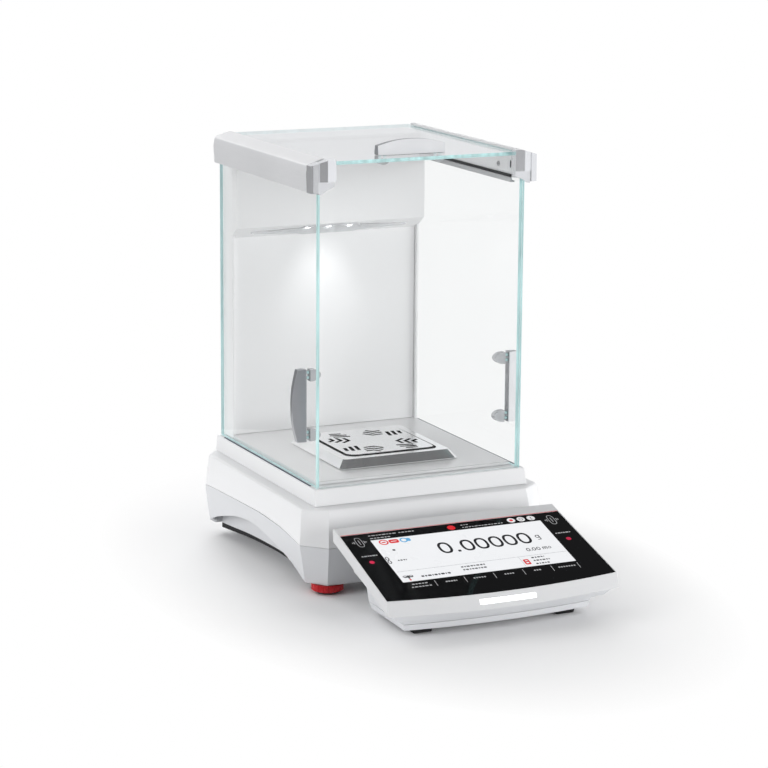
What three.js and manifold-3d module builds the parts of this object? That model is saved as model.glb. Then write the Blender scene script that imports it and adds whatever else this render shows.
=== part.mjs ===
// Analytical balance with a sliding-door draft shield and a detachable touch terminal.
// Units are millimetres, +Z is up, +X is the user's right, -Y is the front (terminal) side.
//
// Heights are measured from the bench. Depths (y) are first measured from the front top edge of
// the shield plinth, and the whole object is moved at the end so that the origin sits at the
// middle of its footprint.

import * as THREE from "three";
import { mergeVertices } from "three/addons/utils/BufferGeometryUtils.js";
import Module from "manifold-3d";

const wasm = await Module();
wasm.setup();

// ---------------------------------------------------------------- driving dimensions

const GAP = 0.3;                 // clearance between neighbouring pieces
const CENTRE_Y = 31.35;          // y of the footprint's middle, moved to the origin at the end

// Housing: an eight-sided body split by a gently arched seam.
const BOTTOM_Z = 8.3;            // lowest edge of the lower housing
const SEAM_FRONT_Z = 44;         // seam height across the front and the front corners
const SEAM_PEAK_Z = 51;          // seam height at the middle of each side
const LEDGE_Z = 75.6;            // top face of the upper housing
const WALL = 3;
const ARCH_PEAK_Z = 37.5;        // top of the arch under each side

// Draft shield.
const PLINTH_TOP_Z = 90;
const FLOOR_TOP_Z = 93;
const GLASS_T = 3;
const GLASS_HALF = 96.8;         // outer faces of the side doors
const FRONT_GLASS_Y = 2.75;
const DOOR_FRONT_Y = 6.1;
const DOOR_REAR_Y = 221.5;
const RAIL_BOTTOM_Z = 343.3;
const RAIL_OUTER_X = 105.5;
const RAIL_INNER_X = 89.2;
const RAIL_TOP_Z = 371.4;
const RAIL_FRONT_Y = 6.3;
const RAIL_REAR_Y = 213;
const TOP_GLASS_Z = 365;         // underside of the top door
const TOP_GLASS_HALF = 92.2;

// Rear tower.
const TOWER_HALF = 93.2;
const TOWER_FRONT_Y = 200.6;
const TOWER_REAR_Y = 228.2;
const TOWER_TOP_Z = 364.3;
const HOOD_FRONT_Y = 190;
const HOOD_EDGE_Z = 285.5;       // front lower edge of the lamp hood
const PANEL_FRONT_Y = 204;
const PANEL_EDGE_Z = 275;        // where the sloping lamp face meets the lower panel

// Door handles: an arched fin outside the glass and two lugs inside it.
const HANDLE_LENGTH = 63;
const HANDLE_LOW_Z = 126;
const HANDLE_Y = 25;
const HANDLE_WIDTH = 7.7;
const HANDLE_END_H = 8.3;
const HANDLE_MID_H = 13;
const LUG_REACH = 10;
const TOP_LUG_REACH = 4.6;       // the top door's lugs are flatter

// Weighing chamber.
const PAN_Y = 99;
const PAN_HALF = 42;
const PAN_TOP_Z = 102;
const RING_BOTTOM_HALF = 57;
const RING_TOP_HALF = 51.5;
const RING_OPENING_HALF = 44.5;
const RING_TOP_Z = 101;

// Feet.
const FOOT_X = 89.1;
const FOOT_Y = -1.3;
const FOOT_R = 14;
const REAR_FOOT_X = 72;
const REAR_FOOT_Y = 188;
const STUD_R = 3;

// Terminal: a thin slab tilted towards the user on a tapered lower case.
const TILT = THREE.MathUtils.degToRad(16.65);
const TERM_Y = -154.2;           // front lower edge of the touch glass
const TERM_Z = 35;
const TERM_GLASS_LEN = 101.2;
const TERM_FRONT_HALF = 105;
const TERM_REAR_HALF = 102.6;
const TERM_BOW = 6.5;            // how far the front edge bows out at its middle
const TERM_SLAB_T = 10.9;

// ---------------------------------------------------------------- materials

function paint(hex, roughness, metalness = 0, opacity = 1) {
  return new THREE.MeshStandardMaterial({
    color: hex,
    roughness,
    metalness,
    transparent: opacity < 1,
    opacity,
  });
}

const M = {
  white: paint(0xeeeff0, 0.5),
  pale: paint(0xd9dbde, 0.5),
  grey: paint(0xb9bbbf, 0.45, 0.3),
  dark: paint(0x2a2c30, 0.6),
  steel: paint(0xc6c8ca, 0.35, 0.9),
  polished: paint(0xd2d4d6, 0.2, 1.0),
  alloy: paint(0xaeb1b5, 0.55, 0.8),
  glass: paint(0xd8f0f0, 0.05, 0, 0.3),
  clear: paint(0xe6e8ea, 0.2, 0, 0.6),
  red: paint(0xb5121b, 0.3),
  rubber: paint(0x17181a, 0.8),
  board: paint(0x1f6b3a, 0.6),
  black: paint(0x08090a, 0.1),
  screen: paint(0xf2f3f5, 0.3),
  lamp: paint(0xffffff, 0.3),
};

// ---------------------------------------------------------------- shape helpers

function solidOf(geometry) {
  const g = geometry.clone();
  g.deleteAttribute("normal");
  if (g.attributes.uv) g.deleteAttribute("uv");
  const merged = mergeVertices(g, 1e-4);
  return new wasm.Manifold(
    new wasm.Mesh({
      numProp: 3,
      vertProperties: new Float32Array(merged.attributes.position.array),
      triVerts: new Uint32Array(merged.index.array),
    })
  );
}

function geometryOf(solid) {
  const mesh = solid.getMesh();
  const g = new THREE.BufferGeometry();
  g.setAttribute("position", new THREE.BufferAttribute(new Float32Array(mesh.vertProperties), 3));
  g.setIndex(new THREE.BufferAttribute(new Uint32Array(mesh.triVerts), 1));
  const flat = g.toNonIndexed();
  flat.computeVertexNormals();
  return flat;
}

function cut(base, ...tools) {
  let s = solidOf(base);
  for (const t of tools) s = s.subtract(solidOf(t));
  return geometryOf(s);
}

function join(base, ...others) {
  let s = solidOf(base);
  for (const t of others) s = s.add(solidOf(t));
  return geometryOf(s);
}

function common(a, b) {
  return geometryOf(solidOf(a).intersect(solidOf(b)));
}

function shapeOf(points) {
  return new THREE.Shape(points.map(([a, b]) => new THREE.Vector2(a, b)));
}

// Prism over a plan outline, from z0 up to z1.
function upright(points, z0, z1) {
  const g = new THREE.ExtrudeGeometry(shapeOf(points), { depth: z1 - z0, bevelEnabled: false });
  return g.translate(0, 0, z0);
}

// Prism along X from a side outline given as [y, z] points.
function alongX(points, x0, x1) {
  const g = new THREE.ExtrudeGeometry(shapeOf(points), { depth: x1 - x0, bevelEnabled: false });
  const basis = new THREE.Matrix4().makeBasis(
    new THREE.Vector3(0, 1, 0),
    new THREE.Vector3(0, 0, 1),
    new THREE.Vector3(1, 0, 0)
  );
  return g.applyMatrix4(basis).translate(x0, 0, 0);
}

// Prism along Y from a front outline given as [x, z] points.
function alongY(points, y0, y1) {
  const g = new THREE.ExtrudeGeometry(shapeOf(points), { depth: y1 - y0, bevelEnabled: false });
  const basis = new THREE.Matrix4().makeBasis(
    new THREE.Vector3(1, 0, 0),
    new THREE.Vector3(0, 0, 1),
    new THREE.Vector3(0, -1, 0)
  );
  return g.applyMatrix4(basis).translate(0, y1, 0);
}

function box(x0, x1, y0, y1, z0, z1) {
  const g = new THREE.BoxGeometry(x1 - x0, y1 - y0, z1 - z0);
  return g.translate((x0 + x1) / 2, (y0 + y1) / 2, (z0 + z1) / 2);
}

function post(r, x, y, z0, z1, sides = 28) {
  const g = new THREE.CylinderGeometry(r, r, z1 - z0, sides);
  return g.rotateX(Math.PI / 2).translate(x, y, (z0 + z1) / 2);
}

function barY(r, x, z, y0, y1, sides = 24) {
  const g = new THREE.CylinderGeometry(r, r, y1 - y0, sides);
  return g.translate(x, (y0 + y1) / 2, z);
}

function barX(r, y, z, x0, x1, sides = 24) {
  const g = new THREE.CylinderGeometry(r, r, x1 - x0, sides);
  return g.rotateZ(Math.PI / 2).translate((x0 + x1) / 2, y, z);
}

// Turned piece about a vertical axis from [radius, z] points that start and end on the axis.
function turned(points, x, y, sides = 32) {
  const g = new THREE.LatheGeometry(points.map(([r, z]) => new THREE.Vector2(r, z)), sides);
  return g.rotateX(Math.PI / 2).translate(x, y, 0);
}

// Solid through several plan outlines of the same number of points, lowest first. A section's
// height is a number, or a rule that gives the height from y.
function loft(sections) {
  const n = sections[0].pts.length;
  const positions = [];
  for (const s of sections) {
    for (const [x, y] of s.pts) positions.push(x, y, typeof s.z === "number" ? s.z : s.z(y));
  }
  const index = [];
  for (let k = 0; k + 1 < sections.length; k += 1) {
    for (let i = 0; i < n; i += 1) {
      const a = k * n + i;
      const b = k * n + ((i + 1) % n);
      index.push(a, b, b + n, a, b + n, a + n);
    }
  }
  const cap = (s) => THREE.ShapeUtils.triangulateShape(s.pts.map(([x, y]) => new THREE.Vector2(x, y)), []);
  const top = (sections.length - 1) * n;
  for (const [a, b, c] of cap(sections[0])) index.push(a, c, b);
  for (const [a, b, c] of cap(sections[sections.length - 1])) index.push(top + a, top + b, top + c);
  const g = new THREE.BufferGeometry();
  g.setAttribute("position", new THREE.Float32BufferAttribute(positions, 3));
  g.setIndex(index);
  g.computeVertexNormals();
  return g;
}

// The same shape on the other side of the symmetry plane.
function mirrored(geometry) {
  const g = (geometry.index ? geometry.toNonIndexed() : geometry.clone()).scale(-1, 1, 1);
  const p = g.attributes.position.array;
  for (let i = 0; i < p.length; i += 9) {
    for (let k = 0; k < 3; k += 1) {
      const keep = p[i + 3 + k];
      p[i + 3 + k] = p[i + 6 + k];
      p[i + 6 + k] = keep;
    }
  }
  g.computeVertexNormals();
  return g;
}

function spline(knots, count) {
  const curve = new THREE.SplineCurve(knots.map(([a, b]) => new THREE.Vector2(a, b)));
  return curve.getPoints(count).map((p) => [p.x, p.y]);
}

function roundedSquare(half, radius, cx, cy, steps = 5) {
  const pts = [];
  const corners = [[1, -1, -90], [1, 1, 0], [-1, 1, 90], [-1, -1, 180]];
  for (const [sx, sy, start] of corners) {
    for (let i = 0; i <= steps; i += 1) {
      const a = THREE.MathUtils.degToRad(start + (90 * i) / steps);
      pts.push([
        cx + sx * (half - radius) + radius * Math.cos(a),
        cy + sy * (half - radius) + radius * Math.sin(a),
      ]);
    }
  }
  return pts;
}

const group = new THREE.Group();

function piece(name, geometry, material) {
  const mesh = new THREE.Mesh(geometry, material);
  mesh.name = name;
  mesh.position.y = -CENTRE_Y;
  group.add(mesh);
  return mesh;
}

// ---------------------------------------------------------------- housing

// Eight-sided plan: chamfered front corners, smaller chamfers at the rear.
function plan(p) {
  return [
    [-p.frontX, p.front],
    [p.frontX, p.front],
    [p.half, p.sideY],
    [p.halfRear, p.rearSideY],
    [p.rearX, p.rear],
    [-p.rearX, p.rear],
    [-p.halfRear, p.rearSideY],
    [-p.half, p.sideY],
  ];
}

function inset(p, t) {
  return {
    frontX: p.frontX - 0.45 * t,
    front: p.front + t,
    half: p.half - t,
    sideY: p.sideY + 0.45 * t,
    halfRear: p.halfRear - t,
    rearSideY: p.rearSideY - 0.45 * t,
    rearX: p.rearX - 0.45 * t,
    rear: p.rear - t,
  };
}

const AT_BOTTOM = {
  frontX: 94.5, front: -13.9, half: 107.6, sideY: 4, halfRear: 112.6, rearSideY: 210, rearX: 103, rear: 221,
};
const AT_SEAM = {
  frontX: 97.5, front: -23, half: 115.5, sideY: -3, halfRear: 115.5, rearSideY: 214, rearX: 106, rear: 226,
};
const AT_LEDGE = {
  frontX: 94.4, front: -15.6, half: 113, sideY: -0.5, halfRear: 113, rearSideY: 212, rearX: 104, rear: 224.4,
};

const seamCurve = spline(
  [
    [-3, SEAM_FRONT_Z - 0.1], [18, 46.6], [40, 49.3], [66, 50.5], [88, SEAM_PEAK_Z],
    [120, 50.2], [152, 49.2], [190, 47.8], [216, 46.6],
  ],
  20
);
const seamLine = [[-40, SEAM_FRONT_Z], ...seamCurve, [240, 46]];

function aboveSeam() {
  const pts = seamLine.map(([y, z]) => [y, z + GAP / 2]);
  return alongX([...pts, [240, 120], [-40, 120]], -130, 130);
}

function belowSeam() {
  const pts = seamLine.map(([y, z]) => [y, z - GAP / 2]);
  return alongX([[-40, -10], [240, -10], ...pts.reverse()], -130, 130);
}

const lowerOuter = loft([
  { z: BOTTOM_Z, pts: plan(inset(AT_BOTTOM, 1.4)) },
  { z: BOTTOM_Z + 2.2, pts: plan(AT_BOTTOM) },
  { z: SEAM_FRONT_Z - 1, pts: plan(AT_SEAM) },
  { z: 60, pts: plan(AT_SEAM) },
]);
const lowerInner = loft([
  { z: 0, pts: plan(inset(AT_BOTTOM, WALL + 0.6)) },
  { z: BOTTOM_Z + 2.2, pts: plan(inset(AT_BOTTOM, WALL)) },
  { z: SEAM_FRONT_Z - 1, pts: plan(inset(AT_SEAM, WALL)) },
  { z: 70, pts: plan(inset(AT_SEAM, WALL)) },
]);
const archCurve = spline(
  [
    [5, 4], [12, 12.6], [26, 21], [39, 26.2], [57, 31.2], [78, 35.4], [103, ARCH_PEAK_Z],
    [126, 36], [150, 32.2], [185, 23.3], [206, 16.4], [217, 9], [221, 4],
  ],
  26
);
const archTool = alongX([...archCurve, [221, 0], [5, 0]], -130, 130);
const coreKeep = box(-101, 101, -60, 260, -5, 60);
const sideArches = cut(archTool, coreKeep);
piece("lower_housing", common(cut(lowerOuter, lowerInner, sideArches), belowSeam()), M.pale);

const upperOuter = loft([
  { z: 38, pts: plan(AT_SEAM) },
  { z: SEAM_FRONT_Z, pts: plan(AT_SEAM) },
  { z: LEDGE_Z - 2.6, pts: plan(AT_LEDGE) },
  { z: LEDGE_Z - 0.9, pts: plan(inset(AT_LEDGE, 0.9)) },
  { z: LEDGE_Z, pts: plan(inset(AT_LEDGE, 2.6)) },
]);
const upperInner = loft([
  { z: 30, pts: plan(inset(AT_SEAM, WALL)) },
  { z: SEAM_FRONT_Z, pts: plan(inset(AT_SEAM, WALL)) },
  { z: LEDGE_Z - WALL, pts: plan(inset(AT_LEDGE, WALL + 0.4)) },
]);
const INLET_X = -72;
const DATA_X = -34;
const PORT_Z = 60;
const upperHousing = cut(
  upperOuter,
  upperInner,
  post(14, 0, PAN_Y, 60, 80),
  barY(6.6, INLET_X, PORT_Z, 215, 235),
  box(DATA_X - 16.4, DATA_X + 16.4, 215, 235, PORT_Z - 6.8, PORT_Z + 6.8)
);
piece("upper_housing", common(upperHousing, aboveSeam()), M.white);

// Tub that closes the underside, its lower edge curved a little between the feet.
const tubCurve = spline(
  [[-10, 8.9], [25, 12.2], [62, 14.2], [98, 13.7], [148, 10.8], [182, 7.4], [215, 4.2]],
  14
);
const tubPlan = [[-92.6, -10], [92.6, -10], [98.8, -1.4], [98.8, 215], [-98.8, 215], [-98.8, -1.4]];
const tubInnerPlan = [[-90, -7.5], [90, -7.5], [96.3, 1], [96.3, 212.5], [-96.3, 212.5], [-96.3, 1]];
const tubOuter = common(alongX([...tubCurve, [215, 36], [-10, 36]], -120, 120), upright(tubPlan, 0, 60));
const tubFloor = tubCurve.map(([y, z]) => [y, z + 2.4]);
const tubInner = common(
  alongX([[-20, 11.3], ...tubFloor, [225, 6.6], [225, 50], [-20, 50]], -120, 120),
  upright(tubInnerPlan, 0, 60)
);
const tubHoles = [
  post(5.2, FOOT_X, FOOT_Y, 0, 30, 20),
  post(5.2, -FOOT_X, FOOT_Y, 0, 30, 20),
  post(9, 0, PAN_Y, 0, 30),
  post(2.2, 20, PAN_Y, 0, 30, 16),
];
piece("base_tub", cut(tubOuter, tubInner, ...tubHoles), M.pale);

// Alloy chassis that carries the load cell and takes the levelling screws.
const castingPlan = [[-88.5, -5.8], [88.5, -5.8], [95.2, 2.5], [95.2, 208], [-95.2, 208], [-95.2, 2.5]];
const castingRib = (x0, x1, y0, y1) => box(x0, x1, y0, y1, 24, 34);
const casting = join(
  upright(castingPlan, 19.9, 25),
  post(6, FOOT_X - 1.5, FOOT_Y + 1.5, 19.9, 34, 20),
  post(6, -FOOT_X + 1.5, FOOT_Y + 1.5, 19.9, 34, 20),
  castingRib(-80, -76, 6, 204),
  castingRib(76, 80, 6, 204),
  castingRib(-78, 78, 200, 204),
  box(-34, 34, 52, 70, 24, 32)
);
piece(
  "base_casting",
  cut(
    casting,
    post(STUD_R + 0.35, FOOT_X, FOOT_Y, 0, 60, 20),
    post(STUD_R + 0.35, -FOOT_X, FOOT_Y, 0, 60, 20),
    post(8, 0, PAN_Y, 0, 60),
    barX(13.3, 61, 42, -40, 40, 28),
    box(-60, -36, 120, 190, 0, 60),
    box(36, 60, 120, 190, 0, 60)
  ),
  M.alloy
);

// Monobloc load cell: a block cut into parallel guides by two slots and four thinned corners.
const CELL_Y0 = 90;
const CELL_Y1 = 190;
const CELL_Z0 = 25.3;
const CELL_Z1 = 57.5;
const flexures = [];
for (const y of [CELL_Y0 + 22, CELL_Y1 - 30]) {
  for (const z of [CELL_Z0 + 8, CELL_Z1 - 8]) flexures.push(barX(4.6, y, z, -40, 40, 20));
}
piece(
  "load_cell",
  cut(
    box(-24, 24, CELL_Y0, CELL_Y1, CELL_Z0, CELL_Z1),
    box(-40, 40, CELL_Y0 + 22, CELL_Y1 - 30, CELL_Z0 + 6.5, CELL_Z0 + 9.5),
    box(-40, 40, CELL_Y0 + 22, CELL_Y1 - 30, CELL_Z1 - 9.5, CELL_Z1 - 6.5),
    box(-40, 40, CELL_Y0 - 5, CELL_Y0 + 22, CELL_Z0 - 1, CELL_Z0 + 4.5),
    ...flexures
  ),
  M.alloy
);
piece(
  "pan_post",
  turned(
    [[0, CELL_Z1 + GAP], [9, CELL_Z1 + GAP], [9, 61], [5, 63], [5, 93.6], [2.4, 97.2], [0, 97.2]],
    0, PAN_Y
  ),
  M.steel
);

// Built-in calibration weight: a steel cylinder resting in the chassis cradle ahead of the load cell.
piece("calibration_weight", barX(13, 61, 42, -28, 28, 28), M.polished);

const standoffs = [];
for (const x of [-72, 72]) {
  for (const y of [136, 198]) standoffs.push(post(3, x, y, 66, LEDGE_Z - WALL - GAP, 12));
}
piece(
  "main_board",
  join(
    box(-80, 80, 128, 205, 65, 66.6),
    box(-30, 10, 150, 180, 66, 69.5),
    box(30, 62, 160, 190, 66, 70),
    ...standoffs
  ),
  M.board
);
piece(
  "power_inlet",
  cut(
    join(
      barY(6.2, INLET_X, PORT_Z, 208, 227.2),
      box(INLET_X - 8, INLET_X + 8, 206, 221.2, PORT_Z - 8, PORT_Z + 4.6)
    ),
    cut(barY(4.4, INLET_X, PORT_Z, 212, 230), barY(1.1, INLET_X, PORT_Z, 208, 224, 14))
  ),
  M.dark
);

// D-shaped outline of the data port, wider at the top.
function portOutline(lowHalf, highHalf, halfHeight) {
  return [
    [DATA_X - lowHalf, PORT_Z - halfHeight], [DATA_X + lowHalf, PORT_Z - halfHeight],
    [DATA_X + highHalf, PORT_Z + halfHeight], [DATA_X - highHalf, PORT_Z + halfHeight],
  ];
}
piece(
  "data_port",
  cut(
    join(
      box(DATA_X - 15.8, DATA_X + 15.8, 208, 221.2, PORT_Z - 6.2, PORT_Z + 4.6),
      alongY(portOutline(9.6, 11, 4.6), 220, 227.4)
    ),
    alongY(portOutline(8.8, 10.1, 3.8), 222.5, 230)
  ),
  M.steel
);

// ---------------------------------------------------------------- shield plinth and floor

const plinthLow = [[-101.5, -2.8], [101.5, -2.8], [101.5, 223.5], [-101.5, 223.5]];
const plinthHigh = [[-100.2, 0], [100.2, 0], [100.2, 223], [-100.2, 223]];
const plinthRim = [[-99.6, 0.6], [99.6, 0.6], [99.6, 222.4], [-99.6, 222.4]];
const plinthOuter = loft([
  { z: LEDGE_Z + GAP, pts: plinthLow },
  { z: PLINTH_TOP_Z - 0.6, pts: plinthHigh },
  { z: PLINTH_TOP_Z, pts: plinthRim },
]);
piece(
  "shield_plinth",
  cut(
    plinthOuter,
    box(-97, 97, 3, 218, 60, PLINTH_TOP_Z - 3),
    post(14, 0, PAN_Y, 60, 100),
    box(
      -GLASS_HALF - GAP, GLASS_HALF + GAP,
      FRONT_GLASS_Y - GAP, FRONT_GLASS_Y + GLASS_T + GAP,
      PLINTH_TOP_Z - 1.2, 100
    ),
    box(97.2, 99, 14, 210, PLINTH_TOP_Z - 1.2, 100),
    box(-99, -97.2, 14, 210, PLINTH_TOP_Z - 1.2, 100)
  ),
  M.white
);
for (const [side, s] of [["left", -1], ["right", 1]]) {
  const x0 = s > 0 ? 97.4 : -98.8;
  const strip = box(x0, x0 + 1.4, 14.3, 209.7, PLINTH_TOP_Z - 0.9, PLINTH_TOP_Z + 0.35);
  piece(`${side}_sill_strip`, strip, M.dark);
}
piece(
  "floor_plate",
  cut(
    loft([
      { z: PLINTH_TOP_Z + GAP, pts: [[-93, 14], [93, 14], [93, 200.2], [-93, 200.2]] },
      { z: FLOOR_TOP_Z - 0.5, pts: [[-93, 14], [93, 14], [93, 200.2], [-93, 200.2]] },
      { z: FLOOR_TOP_Z, pts: [[-92.5, 14.5], [92.5, 14.5], [92.5, 199.7], [-92.5, 199.7]] },
    ]),
    post(12, 0, PAN_Y, 80, 100)
  ),
  M.steel
);

// ---------------------------------------------------------------- rear tower and lamp hood

const towerPlan = [
  [-TOWER_HALF, TOWER_FRONT_Y], [TOWER_HALF, TOWER_FRONT_Y], [TOWER_HALF, TOWER_REAR_Y - 6],
  [TOWER_HALF - 2, TOWER_REAR_Y - 1.6], [TOWER_HALF - 7, TOWER_REAR_Y],
  [-TOWER_HALF + 7, TOWER_REAR_Y], [-TOWER_HALF + 2, TOWER_REAR_Y - 1.6], [-TOWER_HALF, TOWER_REAR_Y - 6],
];
// The upper corners are notched for the rails and, behind them, for the door hangers.
const NOTCH_X = 87.7;
const NOTCH_Z = 340.7;
const railNotches = [];
for (const s of [-1, 1]) {
  const from = (x) => [Math.min(s * x, s * 120), Math.max(s * x, s * 120)];
  railNotches.push(box(...from(NOTCH_X), 180, RAIL_REAR_Y + GAP, NOTCH_Z, 380));
  railNotches.push(box(...from(92), 180, 240, NOTCH_Z, 380));
}
const towerShell = cut(
  join(
    upright(towerPlan, PLINTH_TOP_Z + GAP, TOWER_TOP_Z),
    box(-TOWER_HALF, TOWER_HALF, HOOD_FRONT_Y, TOWER_FRONT_Y + 1, 361.8, TOWER_TOP_Z)
  ),
  box(-TOWER_HALF + 2.5, TOWER_HALF - 2.5, 199, TOWER_REAR_Y - 2.5, PLINTH_TOP_Z + 3, NOTCH_Z - 2.5),
  box(-NOTCH_X + 2.5, NOTCH_X - 2.5, 199, TOWER_REAR_Y - 2.5, NOTCH_Z - 3, 361.8),
  ...railNotches
);
piece("rear_housing", towerShell, M.white);

// Inner panel: one moulding, a wide hood over a set-back lower panel with a sloping lamp face.
const panelSheet = alongX(
  [
    [PANEL_FRONT_Y, PLINTH_TOP_Z + 3.4], [PANEL_FRONT_Y, PANEL_EDGE_Z], [HOOD_FRONT_Y, HOOD_EDGE_Z],
    [HOOD_FRONT_Y, 361.4], [HOOD_FRONT_Y + 2.5, 361.4], [HOOD_FRONT_Y + 2.5, HOOD_EDGE_Z + 1.4],
    [PANEL_FRONT_Y + 2.5, PANEL_EDGE_Z + 1.4], [PANEL_FRONT_Y + 2.5, PLINTH_TOP_Z + 3.4],
  ],
  -90.3, 90.3
);
const cheekOutline = [
  [200.2, PANEL_EDGE_Z + 3], [HOOD_FRONT_Y, HOOD_EDGE_Z], [HOOD_FRONT_Y, 361.4], [200.2, 361.4],
];
const slopeCorner = new THREE.Vector3(0, PANEL_FRONT_Y, PANEL_EDGE_Z);
const SLOPE = Math.atan2(HOOD_EDGE_Z - PANEL_EDGE_Z, PANEL_FRONT_Y - HOOD_FRONT_Y);

// Puts a shape drawn on the sloping lamp face (u across, v up the slope) in its place.
function onSlope(geometry, lift) {
  const up = new THREE.Vector3(0, -Math.cos(SLOPE), Math.sin(SLOPE));
  const out = new THREE.Vector3(0, -Math.sin(SLOPE), -Math.cos(SLOPE));
  const basis = new THREE.Matrix4().makeBasis(new THREE.Vector3(1, 0, 0), up, out);
  const at = slopeCorner.clone().addScaledVector(out, lift);
  return geometry.applyMatrix4(basis).translate(at.x, at.y, at.z);
}

const lensOutline = [
  [-77, 8.6], [-30, 4.2], [-26, 2.2], [26, 2.2], [30, 4.2], [77, 8.6], [77, 10.2], [30, 12.6], [26, 15.4],
  [-26, 15.4], [-30, 12.6], [-77, 10.2],
];
const windowOutline = [
  [-60, 8], [-28, 5.6], [28, 5.6], [60, 8], [60, 10.4], [28, 12.4], [-28, 12.4], [-60, 10.4],
];
const lampWindow = onSlope(
  new THREE.ExtrudeGeometry(shapeOf(windowOutline), { depth: 12, bevelEnabled: false }).translate(0, 0, -8),
  0
);
piece(
  "inner_panel",
  cut(
    join(
      panelSheet,
      alongX(cheekOutline, 90, TOWER_HALF),
      alongX(cheekOutline, -TOWER_HALF, -90)
    ),
    lampWindow,
    ...railNotches
  ),
  M.white
);
piece(
  "lamp_lens",
  onSlope(new THREE.ExtrudeGeometry(shapeOf(lensOutline), { depth: 1.4, bevelEnabled: false }), GAP),
  M.clear
);
const emitters = [];
for (const u of [-20.5, 0, 20.5]) {
  emitters.push(onSlope(new THREE.BoxGeometry(4, 4, 1.6).translate(u, 9, 0.5), -5.2));
}
piece(
  "lamp_board",
  join(
    onSlope(new THREE.BoxGeometry(120, 12, 1.6).translate(0, 9, -1), -5.2),
    ...emitters
  ),
  M.lamp
);

// ---------------------------------------------------------------- rails, caps and tracks

const railProfile = [
  [RAIL_OUTER_X, RAIL_BOTTOM_Z], [106.4, 358.5], [105.2, 365.4], [103.6, 366.9],
  [91, RAIL_TOP_Z - 0.5], [RAIL_INNER_X, RAIL_TOP_Z - 0.7], [RAIL_INNER_X, 368.4], [92.8, 368.4],
  [92.8, 364.6], [RAIL_INNER_X, 364.6], [RAIL_INNER_X, 345.4], [91.2, 345.4],
  [91.2, 361], [103.4, 361], [103.4, 345.5], [99.2, 345.5], [99.2, RAIL_BOTTOM_Z],
];
const rightRail = alongY(railProfile, RAIL_FRONT_Y, RAIL_REAR_Y);
piece("right_rail", rightRail, M.grey);
piece("left_rail", mirrored(rightRail), M.grey);

// Front caps: a block with an upright ridge, and a tapered foot that grips the glass corner.
const capPlan = [
  [83.9, -5.2], [92, -6.6], [98.4, -4.7], [98.9, -3.7], [99.5, -4.6], [104.2, -4.3], [105.8, -2.4],
  [105.8, RAIL_FRONT_Y - GAP],
  [97.3, RAIL_FRONT_Y - GAP], [97.3, FRONT_GLASS_Y - GAP], [83.9, FRONT_GLASS_Y - GAP],
];
const capTop = alongY(
  [[80, 330], [110, 330], [110, 364.6], [104.6, 366.6], [90.5, 370.9], [80, 370.9]],
  -12, 8
);
const capBody = common(upright(capPlan, 352.6, 372), capTop);
const capSide = common(
  upright(
    [[98.4, -3.6], [98.9, -3.7], [99.5, -4.6], [104.2, -4.3], [105.8, -2.4], [105.8, 6], [98.4, 6]],
    343.3, 353
  ),
  capTop
);
const capFoot = common(
  upright([[84.6, -3.6], [98.8, -3.6], [98.8, FRONT_GLASS_Y - GAP], [84.6, FRONT_GLASS_Y - GAP]], 340, 353.2),
  alongY([[84.6, 348.4], [89.6, 346.4], [97.4, 342], [98.8, 342], [98.8, 354], [84.6, 354]], -12, 8)
);
const rightCap = join(capBody, capSide, capFoot);
piece("right_rail_cap", rightCap, M.steel);
piece("left_rail_cap", mirrored(rightCap), M.steel);

const rightTrack = alongY(
  [[88.4, 341], [92.2, 341], [92.2, 342.2], [89.6, 342.2], [89.6, 345.1], [88.4, 345.1]],
  12, 200
);
piece("right_door_track", rightTrack, M.steel);
piece("left_door_track", mirrored(rightTrack), M.steel);
const rightSeal = box(88, 88.9, 12, 200, 345.5, 347.8);
piece("right_track_seal", rightSeal, M.rubber);
piece("left_track_seal", mirrored(rightSeal), M.rubber);

// ---------------------------------------------------------------- glass

const frontPane = alongY(
  [
    [-GLASS_HALF, PLINTH_TOP_Z - 0.9], [GLASS_HALF, PLINTH_TOP_Z - 0.9], [GLASS_HALF, 362],
    [88.6, 362], [88.6, 366.2], [-88.6, 366.2], [-88.6, 362], [-GLASS_HALF, 362],
  ],
  FRONT_GLASS_Y, FRONT_GLASS_Y + GLASS_T
);
piece("front_glass", frontPane, M.glass);

const lugCentres = [HANDLE_LOW_Z + 5.4, HANDLE_LOW_Z + HANDLE_LENGTH - 5.4];
const lugY = HANDLE_Y + HANDLE_WIDTH / 2;

// Arched fin on two pegs. It is drawn lying along +X with its base on z = 0 and its pegs pointing
// down, and then stood up against the right, left or top door.
function handleShape() {
  const half = HANDLE_LENGTH / 2;
  const crest = spline(
    [
      [half, HANDLE_END_H], [half * 0.5, HANDLE_MID_H - 1.1], [0, HANDLE_MID_H],
      [-half * 0.5, HANDLE_MID_H - 1.1], [-half, HANDLE_END_H],
    ],
    14
  );
  const fin = alongY([[-half, GAP], [half, GAP], ...crest], -HANDLE_WIDTH / 2, HANDLE_WIDTH / 2);
  const wedge = alongX(
    [
      [-HANDLE_WIDTH / 2, 0], [HANDLE_WIDTH / 2, 0], [HANDLE_WIDTH / 2, 3],
      [1.6, 16], [-1.6, 16], [-HANDLE_WIDTH / 2, 3],
    ],
    -half - 1, half + 1
  );
  const pegs = [];
  for (const u of [-1, 1]) {
    for (const v of [-1, 1]) pegs.push(post(0.9, u * (half - 5.4) + v * 2.3, 0, -GLASS_T - 4, 1, 10));
  }
  return join(common(fin, wedge), ...pegs);
}

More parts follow.
